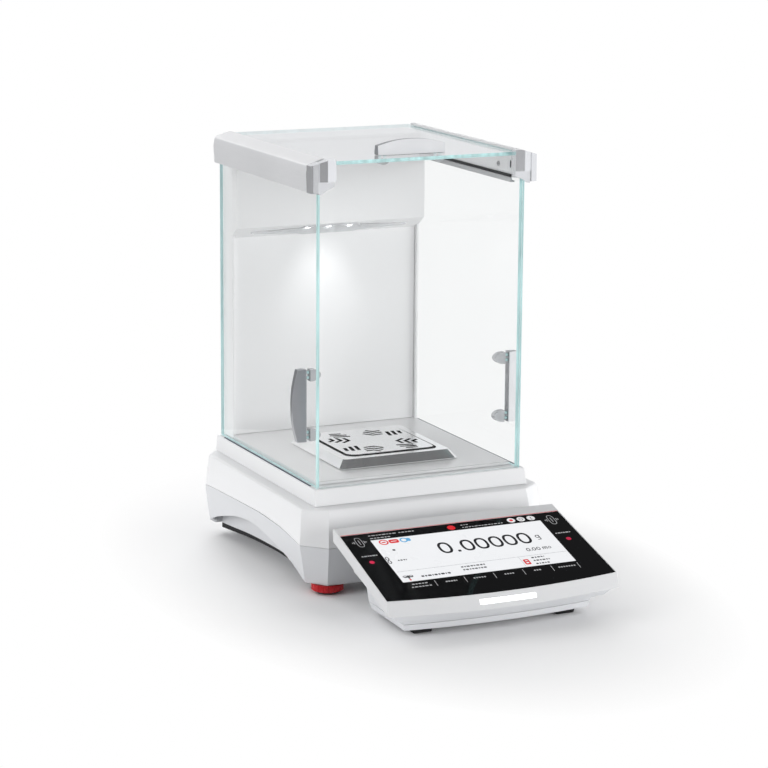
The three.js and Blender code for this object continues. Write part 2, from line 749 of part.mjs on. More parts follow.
// Half-round lug drawn with its flat back on z = 0 and reaching down to -reach.
function lugShape(reach) {
  const arc = [];
  for (let i = 0; i <= 10; i += 1) {
    const a = Math.PI + (Math.PI * i) / 10;
    arc.push([5.2 * Math.cos(a), (reach - 1.2) * Math.sin(a) - 1.2]);
  }
  const disc = alongY([[5.2, 0], [-5.2, 0], ...arc], -HANDLE_WIDTH / 2 + 0.4, HANDLE_WIDTH / 2 - 0.4);
  return cut(disc, post(1.2, -2.3, 0, -5.5, 1, 10), post(1.2, 2.3, 0, -5.5, 1, 10));
}

// Stands a handle or lug drawn lying down against the right door, z up the door.
function standOnDoor(geometry, z, x) {
  return geometry.rotateY(Math.PI / 2).translate(x, lugY, z);
}

const doorBottomZ = PLINTH_TOP_Z + GAP;
const DOOR_TOP_Z = 352;
const pegHolesX = [];
for (const zc of lugCentres) {
  for (const v of [-2.3, 2.3]) pegHolesX.push(barX(1.3, lugY, zc + v, 90, 100, 10));
}
const rightPane = cut(
  box(GLASS_HALF - GLASS_T, GLASS_HALF, DOOR_FRONT_Y, DOOR_REAR_Y, doorBottomZ, DOOR_TOP_Z),
  ...pegHolesX
);
const rightHanger = cut(
  box(92.4, 98.2, 16, 208, 347.2, 354.4),
  box(GLASS_HALF - GLASS_T - GAP, GLASS_HALF + GAP, 10, 215, 340, DOOR_TOP_Z + GAP)
);
const rightHandle = standOnDoor(handleShape(), HANDLE_LOW_Z + HANDLE_LENGTH / 2, GLASS_HALF);
const rightLugs = lugCentres.map((z) => standOnDoor(lugShape(LUG_REACH), z, GLASS_HALF - GLASS_T - GAP));

piece("right_door_glass", rightPane, M.glass);
piece("right_door_hanger", rightHanger, M.dark);
piece("right_door_handle", rightHandle, M.steel);
piece("right_door_lower_lug", rightLugs[0], M.clear);
piece("right_door_upper_lug", rightLugs[1], M.clear);
piece("left_door_glass", mirrored(rightPane), M.glass);
piece("left_door_hanger", mirrored(rightHanger), M.dark);
piece("left_door_handle", mirrored(rightHandle), M.steel);
piece("left_door_lower_lug", mirrored(rightLugs[0]), M.clear);
piece("left_door_upper_lug", mirrored(rightLugs[1]), M.clear);

const topLugX = HANDLE_LENGTH / 2 - 5.4;
const topHoles = [];
for (const c of [-topLugX, topLugX]) {
  for (const v of [-2.3, 2.3]) topHoles.push(post(1.3, c + v, lugY, 360, 372, 10));
}
const topPane = box(-TOP_GLASS_HALF, TOP_GLASS_HALF, DOOR_FRONT_Y, 224, TOP_GLASS_Z, TOP_GLASS_Z + GLASS_T);
piece("top_door_glass", cut(topPane, ...topHoles), M.glass);
piece("top_door_handle", handleShape().translate(0, lugY, TOP_GLASS_Z + GLASS_T), M.steel);
piece("top_door_left_lug", lugShape(TOP_LUG_REACH).translate(-topLugX, lugY, TOP_GLASS_Z - GAP), M.clear);
piece("top_door_right_lug", lugShape(TOP_LUG_REACH).translate(topLugX, lugY, TOP_GLASS_Z - GAP), M.clear);

// ---------------------------------------------------------------- weighing pan and wind ring

function squarePlan(half, chamfer) {
  return [
    [-half + chamfer, PAN_Y - half], [half - chamfer, PAN_Y - half],
    [half, PAN_Y - half + chamfer], [half, PAN_Y + half - chamfer],
    [half - chamfer, PAN_Y + half], [-half + chamfer, PAN_Y + half],
    [-half, PAN_Y + half - chamfer], [-half, PAN_Y - half + chamfer],
  ];
}
piece(
  "wind_ring",
  cut(
    loft([
      { z: FLOOR_TOP_Z + GAP, pts: squarePlan(RING_BOTTOM_HALF, 3.6) },
      { z: FLOOR_TOP_Z + 0.8, pts: squarePlan(RING_BOTTOM_HALF, 3.6) },
      { z: RING_TOP_Z - 0.3, pts: squarePlan(RING_TOP_HALF, 2.8) },
      { z: RING_TOP_Z, pts: squarePlan(RING_TOP_HALF - 0.5, 2.6) },
    ]),
    upright(roundedSquare(RING_OPENING_HALF, 9, 0, PAN_Y), 80, 120)
  ),
  M.polished
);

// Grid pan: nested V slots and rows of straight slots alternate around a plain middle. The pattern
// repeats at every quarter turn.
const panSlots = [];
function slotAt(u, v, angle, length, width) {
  const g = new THREE.BoxGeometry(length, width, 12);
  return g.rotateZ(angle).translate(u, v, 0);
}
function turnedToSide(g, quarter) {
  return g.rotateZ((quarter * Math.PI) / 2).translate(0, PAN_Y, PAN_TOP_Z - 1);
}
const V_AXIS = THREE.MathUtils.degToRad(-24);
const V_HALF_ANGLE = THREE.MathUtils.degToRad(60);
const V_LEGS = [11, 10.5, 8.5];
const ROW_ANGLE = THREE.MathUtils.degToRad(80);
const ROW_LENGTHS = [15.5, 15.5, 11];
for (let q = 0; q < 4; q += 1) {
  V_LEGS.forEach((leg, k) => {
    const tip = 21.5 + 7 * k;
    for (const s of [-1, 1]) {
      const a = V_AXIS + s * V_HALF_ANGLE;
      const u = tip * Math.cos(V_AXIS) + (leg / 2 - 0.9) * Math.cos(a);
      const v = tip * Math.sin(V_AXIS) + (leg / 2 - 0.9) * Math.sin(a);
      panSlots.push(turnedToSide(slotAt(u, v, a, leg, 3.1), q));
    }
  });
  ROW_LENGTHS.forEach((length, k) => {
    panSlots.push(turnedToSide(slotAt(24.6 + 5.8 * k, 19.6 + 0.8 * k, ROW_ANGLE, length, 3.3), q));
  });
}
const panPlate = loft([
  { z: PAN_TOP_Z - 1.9, pts: roundedSquare(PAN_HALF - 0.5, 7.5, 0, PAN_Y) },
  { z: PAN_TOP_Z - 1.4, pts: roundedSquare(PAN_HALF, 8, 0, PAN_Y) },
  { z: PAN_TOP_Z - 0.4, pts: roundedSquare(PAN_HALF, 8, 0, PAN_Y) },
  { z: PAN_TOP_Z, pts: roundedSquare(PAN_HALF - 0.5, 7.5, 0, PAN_Y) },
]);
const panHub = turned(
  [[0, 93.5], [6.6, 93.5], [8.6, PAN_TOP_Z - 1.5], [0, PAN_TOP_Z - 1.5]],
  0, PAN_Y, 28
);
const panSocket = turned([[0, 90], [5.5, 90], [5.5, 93.8], [2.75, 97.5], [0, 97.5]], 0, PAN_Y, 28);
piece("weighing_pan", cut(join(cut(panPlate, ...panSlots), panHub), panSocket), M.polished);

// ---------------------------------------------------------------- feet and hook cover

const underCurve = tubCurve.map(([y, z]) => [y, z - GAP]).reverse();
const underTub = alongX([[-10, -5], [215, -5], ...underCurve], -120, 120);
for (const [side, s] of [["left", -1], ["right", 1]]) {
  const x = s * FOOT_X;
  const grip = [];
  for (let i = 0; i < 20; i += 1) {
    const a = (i * Math.PI) / 10;
    grip.push(post(1.1, x + (FOOT_R + 0.55) * Math.cos(a), FOOT_Y + (FOOT_R + 0.55) * Math.sin(a), 0, 12, 8));
  }
  const wheel = turned(
    [
      [0, 1.9], [12.6, 1.9], [FOOT_R, 2.9], [FOOT_R, 7.1], [13.2, 8], [STUD_R + 2, 8],
      [STUD_R, 9.5], [STUD_R, 31.2], [STUD_R - 0.8, 32], [0, 32],
    ],
    x, FOOT_Y, 40
  );
  piece(`${side}_levelling_wheel`, cut(wheel, ...grip), M.red);
  const pad = turned([[0, 0], [9.6, 0], [10.4, 0.5], [10.4, 1.6], [0, 1.6]], x, FOOT_Y);
  piece(`${side}_levelling_pad`, pad, M.rubber);
  const rearFoot = turned([[0, 0], [8.8, 0], [9.6, 1], [10, 20], [0, 20]], s * REAR_FOOT_X, REAR_FOOT_Y, 28);
  piece(`${side}_rear_foot`, common(rearFoot, underTub), M.rubber);
}
const coverPlan = [];
for (let i = 0; i <= 12; i += 1) {
  const a = Math.PI / 2 + (Math.PI * i) / 12;
  coverPlan.push([14 * Math.cos(a), PAN_Y + 14 * Math.sin(a)]);
}
for (let i = 0; i <= 8; i += 1) {
  const a = -Math.PI / 2 + (Math.PI * i) / 8;
  coverPlan.push([20 + 6 * Math.cos(a), PAN_Y + 6 * Math.sin(a)]);
}
piece(
  "hook_cover",
  join(upright(coverPlan, 10.4, 12.6), post(1.9, 20, PAN_Y, 12, 19.5, 16)),
  M.dark
);

// ---------------------------------------------------------------- terminal

// Puts a shape drawn flat (y up the slope from the glass's front edge, z out of the glass) in place.
function onTerminal(geometry) {
  return geometry.rotateX(TILT).translate(0, TERM_Y, TERM_Z);
}

function bowedPlan(frontHalf, rearHalf, front, rear, bow, rearBow = 0, steps = 12) {
  const pts = [];
  for (let i = 0; i <= steps; i += 1) {
    const t = -1 + (2 * i) / steps;
    pts.push([frontHalf * t, front - bow * (1 - t * t)]);
  }
  const back = rearBow > 0 ? 6 : 1;
  for (let i = 0; i <= back; i += 1) {
    const t = 1 - (2 * i) / back;
    pts.push([rearHalf * t, rear + rearBow * (1 - t * t)]);
  }
  return pts;
}

const slab = loft([
  { z: -TERM_SLAB_T, pts: bowedPlan(TERM_FRONT_HALF, TERM_REAR_HALF, -7.2, 109, TERM_BOW, 1.5) },
  {
    z: -TERM_SLAB_T + 0.9,
    pts: bowedPlan(TERM_FRONT_HALF + 1, TERM_REAR_HALF + 1.2, -8.2, 110.2, TERM_BOW, 1.5),
  },
  { z: -0.9, pts: bowedPlan(TERM_FRONT_HALF + 0.9, TERM_REAR_HALF + 1.2, -1.6, 113.8, TERM_BOW, 1.5) },
  { z: 0.3, pts: bowedPlan(TERM_FRONT_HALF + 0.6, TERM_REAR_HALF + 0.7, -0.7, 113, TERM_BOW, 1.5) },
]);
const glassSeat = upright(
  bowedPlan(TERM_FRONT_HALF + 0.3, TERM_REAR_HALF + 0.3, -0.3, TERM_GLASS_LEN + 0.3, TERM_BOW), -2.1, 5
);
const slabHollow = upright(bowedPlan(TERM_FRONT_HALF - 3, TERM_REAR_HALF - 3, 4, 106, TERM_BOW), -20, -3.8);
const DISPLAY = { half: 83, low: 24, high: 92 };
const displayWindow = box(-DISPLAY.half, DISPLAY.half, DISPLAY.low, DISPLAY.high, -10, 2);
const barSlot = box(-25.9, 25.9, -16, 4, -6.7, -3.1);
piece("terminal_top_case", onTerminal(cut(slab, glassSeat, slabHollow, displayWindow, barSlot)), M.white);
piece(
  "terminal_glass",
  onTerminal(
    upright(bowedPlan(TERM_FRONT_HALF, TERM_REAR_HALF, 0, TERM_GLASS_LEN, TERM_BOW), -1.8, 0)
  ),
  M.black
);
piece(
  "terminal_display",
  onTerminal(box(-DISPLAY.half + 0.4, DISPLAY.half - 0.4, DISPLAY.low + 0.4, DISPLAY.high - 0.4, -7.5, -2.2)),
  M.screen
);
piece(
  "terminal_light_bar",
  onTerminal(alongX([[-12, -6.4], [-3, -6.4], [-3, -3.4], [-9.8, -3.4]], -25.5, 25.5)),
  M.lamp
);
piece(
  "terminal_board",
  onTerminal(join(box(-72, 72, 22, 84, -10.4, -8.9), box(-40, 20, 40, 70, -9.2, -7.9))),
  M.board
);

// Lower case: a steep foot, a step that follows the tilt, and a shallow band under the slab.
const stepLine = (y) => 16 + (y + 151.7) * 0.2265;
const slabLine = (y) => TERM_Z + (y - TERM_Y) * Math.tan(TILT) - (TERM_SLAB_T + GAP) / Math.cos(TILT);
const caseOuter = loft([
  { z: 10.6, pts: bowedPlan(86, 84, -145.4, -74, TERM_BOW) },
  { z: (y) => stepLine(y) - 1.6, pts: bowedPlan(88.4, 86, -147.6, -70, TERM_BOW) },
  { z: stepLine, pts: bowedPlan(96, 94.5, -151.9, -67.4, TERM_BOW) },
  { z: slabLine, pts: bowedPlan(101, 98, -157.4, -62, TERM_BOW) },
]);
const caseInner = loft([
  { z: 8, pts: bowedPlan(83.4, 81.4, -142.8, -76.6, TERM_BOW) },
  { z: (y) => stepLine(y) - 1, pts: bowedPlan(85.6, 83.4, -144.8, -72.6, TERM_BOW) },
  { z: (y) => stepLine(y) + 2, pts: bowedPlan(93.4, 92, -149.3, -70, TERM_BOW) },
  { z: (y) => slabLine(y) + 4, pts: bowedPlan(98.9, 95.9, -155.3, -63, TERM_BOW) },
]);
const tongueSlot = box(-32, 32, -90, -40, 0, 34.4);
piece("terminal_bottom_case", cut(caseOuter, caseInner, tongueSlot), M.pale);
piece(
  "terminal_base_cover",
  loft([
    { z: 4.9, pts: bowedPlan(84.6, 82.6, -144, -75.4, TERM_BOW) },
    { z: 10.3, pts: bowedPlan(85.8, 83.8, -145.2, -74.2, TERM_BOW) },
  ]),
  M.pale
);
for (const [side, s] of [["left", -1], ["right", 1]]) {
  const x0 = s > 0 ? 57 : -75;
  piece(
    `terminal_${side}_foot`,
    loft([
      { z: 0, pts: [[x0 + 1, -140], [x0 + 17, -140], [x0 + 17, -131], [x0 + 1, -131]] },
      { z: 4.6, pts: [[x0, -141], [x0 + 18, -141], [x0 + 18, -130], [x0, -130]] },
    ]),
    M.rubber
  );
}

// Bracket on the balance's front wall whose tongue carries the rear of the terminal.
piece(
  "terminal_bracket",
  alongX(
    [
      [-80, 14.2], [-24.2, 14.2], [-17.6, 16.6], [-22.6, 38.4], [-25.4, 38.4], [-21.4, 19.8], [-28, 17],
      [-66.5, 17], [-68.5, 33.6], [-71.5, 33.6], [-69.6, 17], [-80, 17],
    ],
    -29, 29
  ),
  M.dark
);

export default group;
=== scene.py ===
"""Analytical balance with a glass draft shield and a separate touch terminal.

Metres, +Z up, -Y towards the user. The CAD nodes carry the shape. This script gives them softened edges
and materials, and adds what is too fine for the frame: the display's picture, the print on its glass,
screws, stops in the rails, dark strips along the tub and a dark plate under the pan, both painted shade, and
the lamp's emitters.
"""

import math

import bpy
from mathutils import Matrix, Vector


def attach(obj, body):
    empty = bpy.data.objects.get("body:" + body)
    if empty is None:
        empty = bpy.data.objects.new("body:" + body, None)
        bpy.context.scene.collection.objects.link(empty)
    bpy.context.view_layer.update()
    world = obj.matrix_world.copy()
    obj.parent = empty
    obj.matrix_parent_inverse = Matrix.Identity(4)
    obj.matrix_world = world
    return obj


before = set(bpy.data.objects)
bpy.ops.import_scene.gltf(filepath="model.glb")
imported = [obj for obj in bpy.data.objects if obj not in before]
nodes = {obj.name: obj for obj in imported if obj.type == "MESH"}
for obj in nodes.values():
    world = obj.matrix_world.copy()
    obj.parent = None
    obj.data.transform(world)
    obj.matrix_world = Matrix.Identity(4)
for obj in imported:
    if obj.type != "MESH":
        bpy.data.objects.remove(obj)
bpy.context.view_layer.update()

CENTRE_Y = 31.35                # the frame's origin on the CAD source's own depth scale, in mm
TERMINAL_TILT = math.radians(16.65)
TERMINAL_EDGE = (0, -154.2, 35)         # middle of the touch glass's front lower edge, in mm
LAYER = 0.02                    # step between the flat layers on the touch glass, in mm

MM = Matrix.Diagonal((0.001, 0.001, 0.001, 1.0))


def mm(x, y, z):
    """A point given in the CAD source's millimetres, as a point in the frame."""
    return Vector((x / 1000, (y - CENTRE_Y) / 1000, z / 1000))


# ---------------------------------------------------------------- materials


class Nodes:
    """A short way to write the node tree of a material or a world."""

    def __init__(self, owner, output):
        owner.use_nodes = True
        self.owner = owner
        self.tree = owner.node_tree
        self.tree.nodes.clear()
        self.out = self.add(output)

    def add(self, kind, **settings):
        node = self.tree.nodes.new("ShaderNode" + kind)
        for key, value in settings.items():
            setattr(node, key, value)
        return node

    def link(self, a, b):
        self.tree.links.new(a, b)

    def coords(self, scale=(1, 1, 1)):
        tc = self.add("TexCoord")
        mapping = self.add("Mapping")
        mapping.inputs["Scale"].default_value = scale
        self.link(tc.outputs["Object"], mapping.inputs["Vector"])
        return mapping.outputs["Vector"]

    def noise(self, vector, scale, detail=3.0, roughness=0.55):
        n = self.add("TexNoise")
        n.inputs["Scale"].default_value = scale
        n.inputs["Detail"].default_value = detail
        n.inputs["Roughness"].default_value = roughness
        self.link(vector, n.inputs["Vector"])
        return n.outputs["Fac"]

    def remap(self, value, low, high, from_low=0.3, from_high=0.7):
        n = self.add("MapRange")
        n.inputs["From Min"].default_value = from_low
        n.inputs["From Max"].default_value = from_high
        n.inputs["To Min"].default_value = low
        n.inputs["To Max"].default_value = high
        self.link(value, n.inputs["Value"])
        return n.outputs["Result"]

    def math(self, operation, a, b=None, clamp=False):
        n = self.add("Math", operation=operation, use_clamp=clamp)
        for slot, value in ((0, a), (1, b)):
            if value is None:
                continue
            if isinstance(value, (int, float)):
                n.inputs[slot].default_value = value
            else:
                self.link(value, n.inputs[slot])
        return n.outputs["Value"]

    def mix(self, factor, a, b):
        n = self.add("Mix", data_type="RGBA")
        for slot, value in ((0, factor), (6, a), (7, b)):
            if isinstance(value, (int, float)):
                n.inputs[slot].default_value = value
            elif isinstance(value, (tuple, list)):
                n.inputs[slot].default_value = (*value[:3], 1)
            else:
                self.link(value, n.inputs[slot])
        return n.outputs[2]

    def bump(self, height, strength, distance):
        n = self.add("Bump")
        n.inputs["Strength"].default_value = strength
        n.inputs["Distance"].default_value = distance
        self.link(height, n.inputs["Height"])
        return n.outputs["Normal"]

    def edges(self, radius):
        """About 1 within radius of an edge, 0 on flat ground."""
        bevel = self.add("Bevel", samples=3)
        bevel.inputs["Radius"].default_value = radius
        geometry = self.add("NewGeometry")
        dot = self.add("VectorMath", operation="DOT_PRODUCT")
        self.link(bevel.outputs["Normal"], dot.inputs[0])
        self.link(geometry.outputs["Normal"], dot.inputs[1])
        return self.remap(dot.outputs["Value"], 1.0, 0.0, 0.90, 0.998)


def new_material(name):
    return Nodes(bpy.data.materials.new(name), "OutputMaterial")


def tint(color, k):
    return tuple(min(1.0, c * k) for c in color)


def surface(
    name,
    color,
    rough,
    grain,
    blotch,
    metallic=0.0,
    edge=None,
    stretch=(1, 1, 1),
    coat=0.0,
    specular=0.5,
    anisotropic=0.0,
    facing=None,
):
    """Opaque surface: slow colour drift, fine grain in bump and roughness, and an optional painted highlight
    along edges.

    rough     lowest and highest roughness
    grain     scale, bump strength, bump depth in metres
    blotch    scale, darkest and lightest share of the colour
    edge      radius in metres, strength, colour of the painted highlight along edges
    facing    an axis and the colour painted on the faces turned along it, painted light or shade against the rest
    """
    n = new_material(name)
    p = n.add("BsdfPrincipled")
    slow = n.noise(n.coords(), blotch[0], 3.0)
    fine = n.noise(n.coords(scale=stretch), grain[0], 4.0, 0.6)
    body = n.mix(n.remap(slow, 0, 1), tint(color, blotch[1]), tint(color, blotch[2]))
    body = n.mix(n.remap(fine, 0.0, 0.35), body, tint(color, blotch[1] * 0.96))
    # Painted light: the faces turned along the axis take the facing colour, lighter or darker than the rest.
    if facing:
        normal = n.add("SeparateXYZ")
        n.link(n.add("NewGeometry").outputs["True Normal"], normal.inputs["Vector"])
        turned = n.remap(n.math("ABSOLUTE", normal.outputs[facing[0]]), 0.0, 1.0, 0.35, 0.75)
        own = n.mix(n.remap(slow, 0, 1), tint(facing[1], blotch[1]), tint(facing[1], blotch[2]))
        body = n.mix(turned, body, own)
    # Painted highlight: a lighter band along the edges, patchy with the slow drift.
    if edge:
        painted_edge_highlight = n.math("MULTIPLY", n.edges(edge[0]), n.remap(slow, 0.35, 1.0))
        body = n.mix(n.math("MULTIPLY", painted_edge_highlight, edge[1]), body, edge[2])
    n.link(body, p.inputs["Base Color"])
    p.inputs["Metallic"].default_value = metallic
    p.inputs["Specular IOR Level"].default_value = specular
    p.inputs["Anisotropic"].default_value = anisotropic
    p.inputs["Coat Weight"].default_value = coat
    p.inputs["Coat Roughness"].default_value = 0.08
    mixed = n.math("MULTIPLY", n.math("ADD", slow, fine), 0.5)
    n.link(n.remap(mixed, rough[0], rough[1], 0.35, 0.65), p.inputs["Roughness"])
    n.link(n.bump(fine, grain[1], grain[2]), p.inputs["Normal"])
    n.link(p.outputs["BSDF"], n.out.inputs["Surface"])
    return n.owner


# The cut edge of the panes gets a painted glow in blue-green.
RIM_TONE = (0.42, 0.60, 0.60)
RIM_LIGHT = (0.50, 0.74, 0.75, 1)
RIM_GLOW = 0.26
GLASS_CLEAR = (0.984, 0.987, 0.987, 1)
GLASS_IOR = 1.45


def pane(name, axis, gloss=0.7):
    """Thin clear sheet. Its two faces are clear with a soft reflection, and its cut edge is blue-green with a
    painted glow.
    """
    n = new_material(name)
    geometry = n.add("NewGeometry")
    split = n.add("SeparateXYZ")
    n.link(geometry.outputs["True Normal"], split.inputs["Vector"])
    facing = n.math("ABSOLUTE", split.outputs["XYZ".index(axis)])
    is_face = n.math("GREATER_THAN", facing, 0.7)
    clear = n.add("BsdfTransparent")
    clear.inputs["Color"].default_value = GLASS_CLEAR
    shine = n.add("BsdfGlossy")
    shine.inputs["Color"].default_value = (1, 1, 1, 1)
    smear = n.noise(n.coords(), 9.0, 4.0)
    n.link(n.remap(smear, 0.0, 0.03), shine.inputs["Roughness"])
    fresnel = n.add("Fresnel")
    fresnel.inputs["IOR"].default_value = GLASS_IOR
    haze = n.remap(smear, gloss * 0.94, gloss * 1.06)
    outside = n.math("SUBTRACT", 1.0, geometry.outputs["Backfacing"])
    mirror = n.math("MULTIPLY", n.math("MULTIPLY", fresnel.outputs["Fac"], haze), outside, True)
    sheet = n.add("MixShader")
    n.link(mirror, sheet.inputs["Fac"])
    n.link(clear.outputs["BSDF"], sheet.inputs[1])
    n.link(shine.outputs["BSDF"], sheet.inputs[2])
    rim = n.add("BsdfPrincipled")
    streak = n.noise(n.coords(scale=(1, 1, 0.15)), 160.0, 3.0)
    n.link(n.mix(n.remap(streak, 0, 1), tint(RIM_TONE, 0.72), tint(RIM_TONE, 1.25)), rim.inputs["Base Color"])
    rim.inputs["Roughness"].default_value = 0.12
    rim.inputs["Emission Color"].default_value = RIM_LIGHT
    rim.inputs["Emission Strength"].default_value = RIM_GLOW
    choose = n.add("MixShader")
    n.link(is_face, choose.inputs["Fac"])
    n.link(rim.outputs["BSDF"], choose.inputs[1])
    n.link(sheet.outputs["Shader"], choose.inputs[2])
    n.link(choose.outputs["Shader"], n.out.inputs["Surface"])
    return n.owner


def translucent(name, color, clearness, rough):
    """Cloudy plastic: part see-through, part glossy grey."""
    n = new_material(name)
    p = n.add("BsdfPrincipled")
    cloud = n.noise(n.coords(), 320.0, 3.0)
    n.link(n.mix(n.remap(cloud, 0, 1), tint(color, 0.94), tint(color, 1.04)), p.inputs["Base Color"])
    n.link(n.remap(cloud, rough * 0.8, rough * 1.25), p.inputs["Roughness"])
    n.link(n.bump(cloud, 0.05, 0.0003), p.inputs["Normal"])
    clear = n.add("BsdfTransparent")
    blend = n.add("MixShader")
    blend.inputs["Fac"].default_value = 1 - clearness
    n.link(clear.outputs["BSDF"], blend.inputs[1])
    n.link(p.outputs["BSDF"], blend.inputs[2])
    n.link(blend.outputs["Shader"], n.out.inputs["Surface"])
    return n.owner


def lit(name, color, strength, unevenness=0.06, body=1.0):
    """Light source seen from outside, a little brighter in places.

    Body scales the unlit colour under the glow.
    """
    n = new_material(name)
    p = n.add("BsdfPrincipled")
    cloud = n.noise(n.coords(), 60.0, 2.0)
    spread = n.remap(cloud, 0, 1)
    shade = n.mix(spread, tint(color, 1 - unevenness), color)
    unlit = n.mix(spread, tint(color, body * (1 - unevenness)), tint(color, body))
    n.link(unlit, p.inputs["Base Color"])
    n.link(shade, p.inputs["Emission Color"])
    p.inputs["Emission Strength"].default_value = strength
    n.link(n.remap(cloud, 0.25, 0.35), p.inputs["Roughness"])
    n.link(p.outputs["BSDF"], n.out.inputs["Surface"])
    return n.owner


LACQUER_GRAIN = (1500, 0.10, 0.0002)
RAIL_GRAIN = (1200, 0.06, 0.0002)
BRUSHED_GRAIN = (700, 0.08, 0.0003)
HANDLE_GRAIN = (900, 0.08, 0.0002)
INK_GRAIN = (900, 0.02, 0.0001)
ALONG_RAIL = (1, 0.04, 1)
ALONG_DEPTH = (1, 0.03, 1)
DOWN_HANDLE = (0.05, 1, 0.05)
# Painted highlight: the rails' tops are painted lighter than their sides.
RAIL_TOP_PAINTED_LIGHT = ("Z", (0.92, 0.92, 0.93))
# Painted highlight along the rails' edges.
RAIL_EDGE_HIGHLIGHT = (0.0010, 0.5, (0.92, 0.92, 0.93))

# Painted cases and sheet.
# The edge argument of these materials paints a lighter highlight along their edges.
lacquer = surface(
    "white_lacquer", (0.80, 0.805, 0.815), (0.36, 0.46), LACQUER_GRAIN, (9, 0.985, 1.0),
    edge=(0.0012, 0.35, (0.90, 0.90, 0.91)),
)
terminal_paint = surface(
    "terminal_lacquer", (0.645, 0.65, 0.66), (0.36, 0.46), LACQUER_GRAIN, (9, 0.985, 1.0),
    edge=(0.0010, 0.4, (0.80, 0.80, 0.81)),
)
lacquer_low = surface(
    "pale_lacquer", (0.66, 0.67, 0.69), (0.38, 0.50), LACQUER_GRAIN, (9, 0.98, 1.01),
    edge=(0.0012, 0.4, (0.82, 0.82, 0.84)),
)
panel_paint = surface(
    "panel_paint", (0.90, 0.90, 0.905), (0.42, 0.52), (1800, 0.10, 0.0002), (7, 0.985, 1.0),
)
# The two rails share one paint in lit and shaded copies: the left rail's copy is darker, painted shade, and
# the right rail's is lighter, painted light.
rail_paint = surface(
    "rail_paint", (0.77, 0.775, 0.79), (0.30, 0.40), RAIL_GRAIN, (12, 0.97, 1.02),
    metallic=0.22, edge=RAIL_EDGE_HIGHLIGHT, stretch=ALONG_RAIL, facing=RAIL_TOP_PAINTED_LIGHT,
)
rail_paint_lit_right = surface(
    "rail_paint_lit_right", (0.88, 0.885, 0.895), (0.30, 0.40), RAIL_GRAIN, (12, 0.97, 1.02),
    metallic=0.30, edge=RAIL_EDGE_HIGHLIGHT, stretch=ALONG_RAIL, facing=RAIL_TOP_PAINTED_LIGHT,
)

# Bare metals.
# The edge argument of these materials paints a lighter highlight along their edges.
cap_metal = surface(
    "cap_metal", (0.86, 0.865, 0.885), (0.14, 0.22), (1400, 0.06, 0.0002), (20, 0.95, 1.03),
    metallic=0.85, edge=(0.0008, 0.6, (0.88, 0.88, 0.89)),
)
satin_steel = surface(
    "satin_steel", (0.60, 0.605, 0.615), (0.26, 0.36), BRUSHED_GRAIN, (15, 0.95, 1.03),
    metallic=1.0, stretch=ALONG_DEPTH, anisotropic=0.4,
)
plate_steel = surface(
    "plate_steel", (0.91, 0.91, 0.912), (0.34, 0.46), BRUSHED_GRAIN, (15, 0.96, 1.03),
    metallic=0.55, stretch=ALONG_DEPTH, anisotropic=0.4,
)
# The three door handles are the same steel. The right and top handles get a painted reflection on their faces
# turned along Y. The left handle's shaded copy has none, and a fainter painted edge highlight.
handle_steel_painted_front = surface(
    "handle_steel_painted_front", (0.40, 0.405, 0.425), (0.28, 0.38), HANDLE_GRAIN, (30, 0.94, 1.04),
    metallic=0.9, edge=(0.0007, 0.6, (0.85, 0.85, 0.86)), stretch=DOWN_HANDLE,
    facing=("Y", (0.93, 0.93, 0.94)),
)
handle_steel_shaded_copy = surface(
    "handle_steel_shaded_copy", (0.43, 0.435, 0.46), (0.28, 0.38), HANDLE_GRAIN, (30, 0.94, 1.04),
    metallic=0.9, edge=(0.0007, 0.6, (0.75, 0.75, 0.77)), stretch=DOWN_HANDLE,
)
bright_steel = surface(
    "bright_steel", (0.95, 0.95, 0.95), (0.10, 0.17), (800, 0.05, 0.0002), (25, 0.96, 1.02),
    metallic=1.0, edge=(0.0006, 0.5, (0.93, 0.93, 0.93)), stretch=(0.05, 1, 1),
)
# Painted shade: the pan's walls are near black, standing for the shade in its slots and round its rim. Its
# top faces carry the steel's own colour.
pan_steel_shaded_walls = surface(
    "pan_steel_shaded_walls", (0.05, 0.05, 0.053), (0.12, 0.20), (900, 0.05, 0.0002), (30, 0.95, 1.02),
    metallic=1.0, stretch=(0.06, 1, 1), facing=("Z", (0.93, 0.93, 0.935)),
)
cast_alloy = surface(
    "cast_alloy", (0.46, 0.47, 0.49), (0.45, 0.62), (350, 0.35, 0.0006), (20, 0.9, 1.05),
    metallic=0.85,
)

# Plastics, rubber and circuit board.
# The edge argument of these materials paints a lighter highlight along their edges.
dark_plastic = surface(
    "dark_plastic", (0.030, 0.032, 0.038), (0.42, 0.58), (1100, 0.25, 0.0003), (18, 0.85, 1.25),
    edge=(0.0008, 0.5, (0.13, 0.13, 0.14)),
)
# Painted shade: the sill strips are near-black blue, standing for the shade in the groove where the doors
# run, with the blue of the glass edge.
sill_groove_shade = surface(
    "sill_painted_shade", (0.030, 0.040, 0.075), (0.30, 0.45), (900, 0.10, 0.0002), (30, 0.85, 1.25),
)
rubber = surface(
    "black_rubber", (0.016, 0.016, 0.017), (0.62, 0.85), (700, 0.40, 0.0004), (40, 0.8, 1.4),
    specular=0.3,
)
red_plastic = surface(
    "red_plastic", (0.50, 0.004, 0.010), (0.20, 0.30), (1300, 0.06, 0.0002), (40, 0.88, 1.08),
    edge=(0.0006, 0.4, (0.80, 0.10, 0.11)), coat=0.1, specular=0.3,
)
board_green = surface(
    "board_green", (0.012, 0.11, 0.040), (0.28, 0.42), (600, 0.12, 0.0002), (120, 0.7, 1.35),
)
black_gloss = surface(
    "black_gloss", (0.0022, 0.0022, 0.0026), (0.035, 0.075), (40, 0.006, 0.0002), (6, 0.8, 1.3),
    specular=0.09,
)
